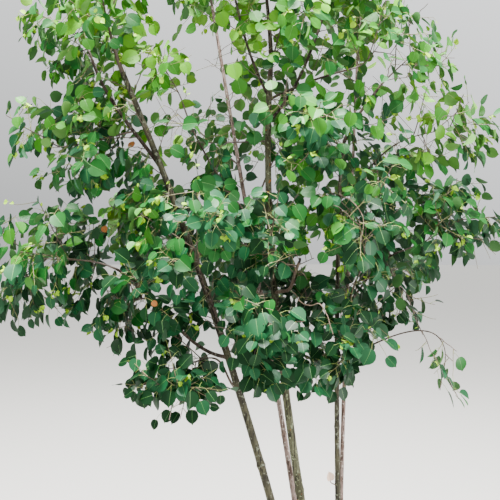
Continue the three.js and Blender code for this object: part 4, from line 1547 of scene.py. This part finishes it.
class PoplarBark(bpy.types.PropertyGroup):
    relief: bpy.props.FloatProperty(
        name="Relief", description="How far the bark's swellings stand out", default=0.0007, unit="LENGTH"
    )
    ring_spacing: bpy.props.FloatProperty(
        name="Ring spacing", description="Distance between rings of a stem", default=0.0045, unit="LENGTH"
    )
    stem_sides: bpy.props.IntProperty(name="Stem sides", description="Faces round a stem", default=24)
    bough_sides: bpy.props.IntProperty(name="Bough sides", description="Faces round a bough", default=14)


def leaf_colour(label, use, hex_colour):
    """A colour that a user can pick, with its default as a hex value."""
    return bpy.props.FloatVectorProperty(
        name=label, description=use, default=linear(hex_colour), size=4, min=0, max=1, subtype="COLOR"
    )


class PoplarLeaves(bpy.types.PropertyGroup):
    dark: leaf_colour("Dark", "Colour of shaded leaves", "#07280f")
    deep: leaf_colour("Deep", "Colour of most leaves", "#134e18")
    blue: leaf_colour("Blue", "Colour of bloomed leaves", "#104223")
    mid: leaf_colour("Mid", "Colour of younger leaves", "#2d6a12")
    bright: leaf_colour("Bright", "Colour of sunlit leaves", "#528f14")
    young: leaf_colour("Young", "Colour of opening leaves", "#86b01c")
    rust: leaf_colour("Rust", "Colour of the few dry leaves", "#8a5528")


class PoplarStage(bpy.types.PropertyGroup):
    floor_radius: bpy.props.FloatProperty(
        name="Floor radius", description="Size of the pale floor", default=60.0, unit="LENGTH"
    )
    eye: bpy.props.FloatVectorProperty(
        name="Eye", description="Where the camera stands", default=tuple(EYE * MM), unit="LENGTH"
    )
    pitch: bpy.props.FloatProperty(
        name="Pitch", description="How far the camera looks down", default=0.0065, subtype="ANGLE"
    )
    lens: bpy.props.FloatProperty(
        name="Lens", description="Focal length of the camera", default=56.2, subtype="DISTANCE_CAMERA"
    )


# The root crown and limbs

BARKS = {
    "olive": ("poplar_bark_olive", "#403f2d", "#5a5a45", "#221f15", "#7f8668", "#9a5a1c"),
    "dark": ("poplar_bark_grey_green", "#2f2c21", "#474432", "#18140e", "#696c5d", "#696c5d"),
    "brown": ("poplar_bark_brown", "#382d26", "#4f433a", "#1d1612", "#66645a", "#66645a"),
    "pale": ("poplar_bark_pinkish_grey", "#665249", "#83716a", "#3b2d26", "#a39b91", "#a39b91"),
}
LOBE_POINTS = 14
LOBE_SIDES = 20
LOBE_NARROWING = 0.12  # of a lobe where its stem goes on, as a share
CROWN_VOXEL = 0.0024  # metres
CROWN_SOFTENING = 6
CROWN_RELIEF = 1.6  # the relief on the root crown and on the boughs, as shares of that on the stems
BOUGH_RELIEF = 0.55
BOUGH_RINGS = 1.1  # the ring spacing of the boughs, as a share of that of the stems
POINT_PITCH = 6  # between the points of a limb's line
FEWEST_POINTS = 8
STEM_SUNK = 35  # how deep a stem's bark goes down into the root crown's
SIDE_COLLAR = 0.45  # how much a bough swells at its foot on the side of a limb,
END_COLLAR = 0.08  # and at the end of one
COLLAR_LENGTH = 14
TIP_STEPS = np.array([0.5, 0.85, 1.0])  # how far beyond its end a limb is rounded off, in radii,
TIP_RADII = np.array([0.87, 0.53, 0.2])  # and how thick it is there


@functools.cache
def bark_of(kind):
    return bark(*BARKS[kind])


def scarred(line, heights):
    """Swells a stem a little at the heights where branches once stood."""
    points, radii = line
    for height in heights:
        radii = radii * (1 + SCAR_SWELLING * np.exp(-(((points[:, 2] - height) / SCAR_LENGTH) ** 2)))
    return points, radii


def limb_line(limb, start, collar):
    """A limb's line from a share of its curve, swollen at its foot and rounded off at its tip."""
    length = limb.curve.length()
    share = np.linspace(start, 1, max(FEWEST_POINTS, int(length * (1 - start) / POINT_PITCH)))
    radii = limb.radius_at(share) * (1 + collar * np.exp(-(share - start) * length / COLLAR_LENGTH))
    points = limb.curve.point(share)
    end = limb.curve.tangent(1.0) * radii[-1]
    points = np.concatenate([points, points[-1] + end * TIP_STEPS[:, None]])
    return points, np.concatenate([radii, radii[-1] * TIP_RADII])


def make_limb(name, line, bark_kind, sides, spacing, depth):
    piece = lines_object(name + "_bark", [line])
    values = {"Ring spacing": spacing, "Sides": sides, "Relief": depth, "Material": bark_of(bark_kind)}
    finish_tree(piece, bark_tree(), values)
    dress(piece, [name])


def crown_lobes():
    """The lines of the root crown's lobes: the feet of the stems, flared towards the ground."""
    lines = []
    for name in STEMS:
        limb = all_limbs()[name]
        length = limb.curve.length()
        share = np.linspace(0, limb.start, LOBE_POINTS)
        flare = 1 + FLARE * np.exp((BURIED - share * length) / FLARE_HEIGHT)
        flare -= LOBE_NARROWING * (share / limb.start) ** 2
        lines.append((limb.curve.point(share), limb.radius_at(share) * flare))
    return lines


def add_burl(mesh):
    """Adds the knot of wood that joins the root crown's lobes."""
    shape = bmesh.new()
    shape.from_mesh(mesh)
    size = Matrix.Diagonal((*(side * MM for side in BURL), 1))
    bmesh.ops.create_icosphere(shape, subdivisions=4, radius=1, matrix=size)
    shape.to_mesh(mesh)
    shape.free()


def cut_at_ground(mesh):
    """Takes off what is below the ground, and closes the flat cut."""
    shape = bmesh.new()
    shape.from_mesh(mesh)
    everything = shape.verts[:] + shape.edges[:] + shape.faces[:]
    cut = bmesh.ops.bisect_plane(shape, geom=everything, plane_no=(0, 0, -1), clear_outer=True)
    rim = [item for item in cut["geom_cut"] if isinstance(item, bmesh.types.BMEdge)]
    bmesh.ops.holes_fill(shape, edges=rim)
    shape.to_mesh(mesh)
    shape.free()


# Operators


class POPLAR_OT_root_crown(bpy.types.Operator):
    """Make the flared root crown with its flat cut at the ground"""

    bl_idname = "poplar.root_crown"
    bl_label = "Root Crown"

    def execute(self, context):
        wood = bark_of("olive")
        crown = round_wood("root_crown_bark", crown_lobes(), LOBE_SIDES, wood)
        add_burl(crown.data)
        remesh = crown.modifiers.new("One skin", "REMESH")
        remesh.mode = "VOXEL"
        remesh.voxel_size = CROWN_VOXEL
        soft = crown.modifiers.new("Soften", "SMOOTH")
        soft.iterations = CROWN_SOFTENING
        depth = context.scene.poplar_bark.relief * CROWN_RELIEF
        finish_tree(crown, crown_tree(), {"Relief": depth, "Material": wood})
        cut_at_ground(crown.data)
        dress(crown, ["root_crown"])
        return {"FINISHED"}


class POPLAR_OT_stems(bpy.types.Operator):
    """Make the five stems with the bark's relief"""

    bl_idname = "poplar.stems"
    bl_label = "Stems"

    def execute(self, context):
        settings = context.scene.poplar_bark
        for name in STEMS:
            limb = all_limbs()[name]
            sunk = STEM_SUNK / limb.curve.length()
            line = scarred(limb_line(limb, limb.start - sunk, 0), SCARS.get(name, ()))
            kind = STEM_BARKS.get(name, "olive")
            make_limb(name, line, kind, settings.stem_sides, settings.ring_spacing, settings.relief)
        return {"FINISHED"}


class POPLAR_OT_boughs(bpy.types.Operator):
    """Make the boughs and leaders, each with a swollen collar at its foot"""

    bl_idname = "poplar.boughs"
    bl_label = "Boughs"

    def execute(self, context):
        settings = context.scene.poplar_bark
        spacing = settings.ring_spacing * BOUGH_RINGS
        depth = settings.relief * BOUGH_RELIEF
        for name, row in BOUGHS.items():
            line = limb_line(all_limbs()[name], 0, SIDE_COLLAR if row["at"] < 1 else END_COLLAR)
            make_limb(name, line, "brown", settings.bough_sides, spacing, depth)
        return {"FINISHED"}


class POPLAR_OT_twigs(bpy.types.Operator):
    """Make the twigs and shoots of the masses and limbs"""

    bl_idname = "poplar.twigs"
    bl_label = "Twigs"

    def execute(self, context):
        growth = all_growth()
        wood = young_wood("year_old_twig_skin", "#3b2e26", "#524234", roughness=0.55)
        green = young_wood("green_shoot_skin", "#6b6a3a", "#54432f", roughness=0.5)
        dress(round_wood("twigs", growth.twigs, sides=6, skin=wood), MASSES)
        dress(round_wood("shoots", growth.shoots, sides=5, skin=green), MASSES)
        return {"FINISHED"}


class POPLAR_OT_leaf_stalks(bpy.types.Operator):
    """Make the long thin stalk of every leaf"""

    bl_idname = "poplar.leaf_stalks"
    bl_label = "Leaf Stalks"

    def execute(self, context):
        skin = young_wood("leaf_stalk_skin", "#7c903c", "#6e7438", roughness=0.5)
        stalks = round_wood("leaf_stalks", all_growth().stalks, sides=3, skin=skin)
        dress(stalks, MASSES)
        return {"FINISHED"}


# The undersides of leaves are paler than their upper sides, apart from those of the youngest
UNDERSIDES = {
    "dark": "#223f27",
    "deep": "#37602f",
    "blue": "#30563a",
    "mid": "#4d7a32",
    "bright": "#5f8d26",
}
SPECULAR = {"dark": 0.1, "blue": 0.13}  # the levels of leaves that are duller than the rest
USUAL_SPECULAR = 0.16


class POPLAR_OT_leaves(bpy.types.Operator):
    """Make the leaves, one piece for each tone that they are dealt out in"""

    bl_idname = "poplar.leaves"
    bl_label = "Leaves"

    def execute(self, context):
        midrib = leaf_skin("poplar_leaf_midrib", linear("#4d7c3a"), roughness=0.5, specular=0.4)
        for tone in TONES:
            colour = tuple(getattr(context.scene.poplar_leaves, tone))
            specular = SPECULAR.get(tone, USUAL_SPECULAR)
            below = linear(UNDERSIDES[tone]) if tone in UNDERSIDES else colour
            upper = leaf_skin(f"poplar_leaf_upper_{tone}", colour, roughness=0.47, specular=specular)
            under = leaf_skin(f"poplar_leaf_under_{tone}", below, roughness=0.6, specular=0.2)
            leaves = all_growth().leaves[tone]
            piece = real_leaves(f"leaves_{tone}", leaves, upper, midrib, under)
            dress(piece, MASSES)
        return {"FINISHED"}


class POPLAR_OT_pruned_shoot(bpy.types.Operator):
    """Make the short pruned shoot low on a stem, with the dry leaf at its end"""

    bl_idname = "poplar.pruned_shoot"
    bl_label = "Pruned Shoot"

    def execute(self, context):
        stem = all_limbs()[PRUNED["on"]].curve
        share = np.linspace(0, 1, PRUNED_SAMPLES)
        foot = stem.point(share[np.argmin(np.abs(stem.point(share)[:, 2] - PRUNED["height"]))])
        out = along(PRUNED["out"])
        axis = unit(out * PRUNED["end_lean"] + UP)
        curve = Sweep(foot, out, foot + out * PRUNED["length"], axis)
        share = np.linspace(0, 1, TWIG_POINTS)
        line = (curve.point(share), taper(PRUNED["wide"])(share))
        wood = young_wood("dead_shoot_skin", "#6e5444", "#4a3a30", roughness=0.75)
        dress(round_wood("pruned_shoot", [line], sides=8, skin=wood), [PRUNED["on"]])
        normal = square_to(axis, along(PRUNED["leaf_faces"]))[0]
        leaf = (curve.point(1.0), axis, normal, PRUNED["leaf"], PRUNED["leaf_form"])
        pale = leaf_skin("dry_leaf_skin", linear("#c8ac98"), roughness=0.7, specular=0.2)
        brown = leaf_skin("dry_leaf_midrib", linear("#8d6a52"), roughness=0.7, specular=0.2)
        dress(real_leaves("dry_leaf", [leaf], pale, brown, pale), [PRUNED["on"]])
        return {"FINISHED"}


class POPLAR_OT_bare_wood(bpy.types.Operator):
    """Make the broken bough and the bare twigs that arch out between the leaves"""

    bl_idname = "poplar.bare_wood"
    bl_label = "Bare Wood"

    def execute(self, context):
        for name, (colour, shade) in BARE_SKINS.items():
            rows = [row for row in BARE_WOOD if row[0] == name]
            lines = []
            for _, _, wide, _, course in rows:
                line = smooth_line(course)
                lines.append((line, taper(wide)(np.linspace(0, 1, len(line)))))
            skin = young_wood(name + "_skin", colour, shade, roughness=0.8)
            piece = round_wood(name, lines, sides=9, skin=skin)
            dress(piece, sorted({row[1] for row in rows}))
        return {"FINISHED"}


# The even light of a bright overcast sky: name, place in metres, size and watts of each lamp
LAMPS = (
    ("key", (-0.7, -1.0, 6.8), 2.2, 3500),
    ("fill", (3.6, -0.6, 1.2), 1.2, 220),
    ("back", (0.5, 4.0, 4.6), 3.0, 150),
)
LAMPS_AIM = np.array([-0.25, 0.0, 1.6])
FLOOR_SIDES = 96
SENSOR_WIDTH = 36


class POPLAR_OT_stage(bpy.types.Operator):
    """Make the pale floor, the sky, the soft lamps and the camera"""

    bl_idname = "poplar.stage"
    bl_label = "Stage"

    def execute(self, context):
        settings = context.scene.poplar_stage
        self.floor(settings.floor_radius)
        self.sky(context.scene)
        for row in LAMPS:
            self.lamp(*row)
        self.camera(context.scene, settings)
        return {"FINISHED"}

    def floor(self, radius):
        shape = bmesh.new()
        bmesh.ops.create_circle(shape, cap_ends=True, segments=FLOOR_SIDES, radius=radius)
        mesh = bpy.data.meshes.new("floor")
        shape.to_mesh(mesh)
        shape.free()
        material, _, _ = new_material("matt_pale_grey_floor", linear("#a3a19c"), roughness=0.9)
        mesh.materials.append(material)
        new_object("floor", mesh)

    def sky(self, scene):
        """A sky that is brightest in one direction and darkest away from it."""
        world = bpy.data.worlds.new("Studio")
        world.use_nodes = True
        tree = world.node_tree
        toward = {0: node(tree, "ShaderNodeTexCoord").outputs["Generated"], 1: BRIGHT_SKY}
        toward = node(tree, "ShaderNodeVectorMath", toward, operation="DOT_PRODUCT").outputs["Value"]
        brighter = {"Value": toward, "From Min": -0.5, "From Max": 0.9, "To Min": 0.4, "To Max": 3.4}
        strength = node(tree, "ShaderNodeMapRange", brighter)
        connect(tree, tree.nodes["Background"], {"Color": linear("#eef0f1"), "Strength": strength})
        scene.world = world

    def lamp(self, name, place, size, power):
        data = bpy.data.lights.new(name, "AREA")
        data.size = size
        data.energy = power
        lamp = new_object(name, data)
        axis = unit(np.array(place) - LAMPS_AIM)
        side, _ = square_to(axis, UP)
        turn = Matrix(np.array([np.cross(side, axis), side, axis]).T.tolist())
        lamp.location = place
        lamp.rotation_euler = turn.to_euler()

    def camera(self, scene, settings):
        data = bpy.data.cameras.new("Camera")
        data.sensor_width = SENSOR_WIDTH
        data.lens = settings.lens
        camera = new_object("Camera", data)
        camera.location = settings.eye
        camera.rotation_euler = (math.pi / 2 - settings.pitch, 0, 0)
        scene.camera = camera


class POPLAR_PT_panel(bpy.types.Panel):
    """The steps of the poplar in the sidebar"""

    bl_idname = "POPLAR_PT_panel"
    bl_label = "Poplar"
    bl_space_type = "VIEW_3D"
    bl_region_type = "UI"
    bl_category = "Poplar"

    def draw(self, context):
        for step in OPERATORS:
            self.layout.operator(step.bl_idname)
        for name in GROUPS:
            group = getattr(context.scene, name)
            box = self.layout.box()
            for label in group.bl_rna.properties.keys():
                if label not in ("rna_type", "name"):
                    box.prop(group, label)


OPERATORS = (
    POPLAR_OT_root_crown,
    POPLAR_OT_stems,
    POPLAR_OT_boughs,
    POPLAR_OT_twigs,
    POPLAR_OT_leaf_stalks,
    POPLAR_OT_leaves,
    POPLAR_OT_pruned_shoot,
    POPLAR_OT_bare_wood,
    POPLAR_OT_stage,
)
GROUPS = {"poplar_bark": PoplarBark, "poplar_leaves": PoplarLeaves, "poplar_stage": PoplarStage}
CLASSES = (*GROUPS.values(), *OPERATORS, POPLAR_PT_panel)


def register():
    for kind in CLASSES:
        bpy.utils.register_class(kind)
    for name, group in GROUPS.items():
        setattr(bpy.types.Scene, name, bpy.props.PointerProperty(type=group))


def unregister():
    for name in GROUPS:
        delattr(bpy.types.Scene, name)
    for kind in reversed(CLASSES):
        bpy.utils.unregister_class(kind)


def main():
    register()
    bpy.ops.poplar.root_crown()
    bpy.ops.poplar.stems()
    bpy.ops.poplar.boughs()
    bpy.ops.poplar.twigs()
    bpy.ops.poplar.leaf_stalks()
    bpy.ops.poplar.leaves()
    bpy.ops.poplar.pruned_shoot()
    bpy.ops.poplar.bare_wood()
    bpy.ops.poplar.stage()


if __name__ == "__main__":
    main()
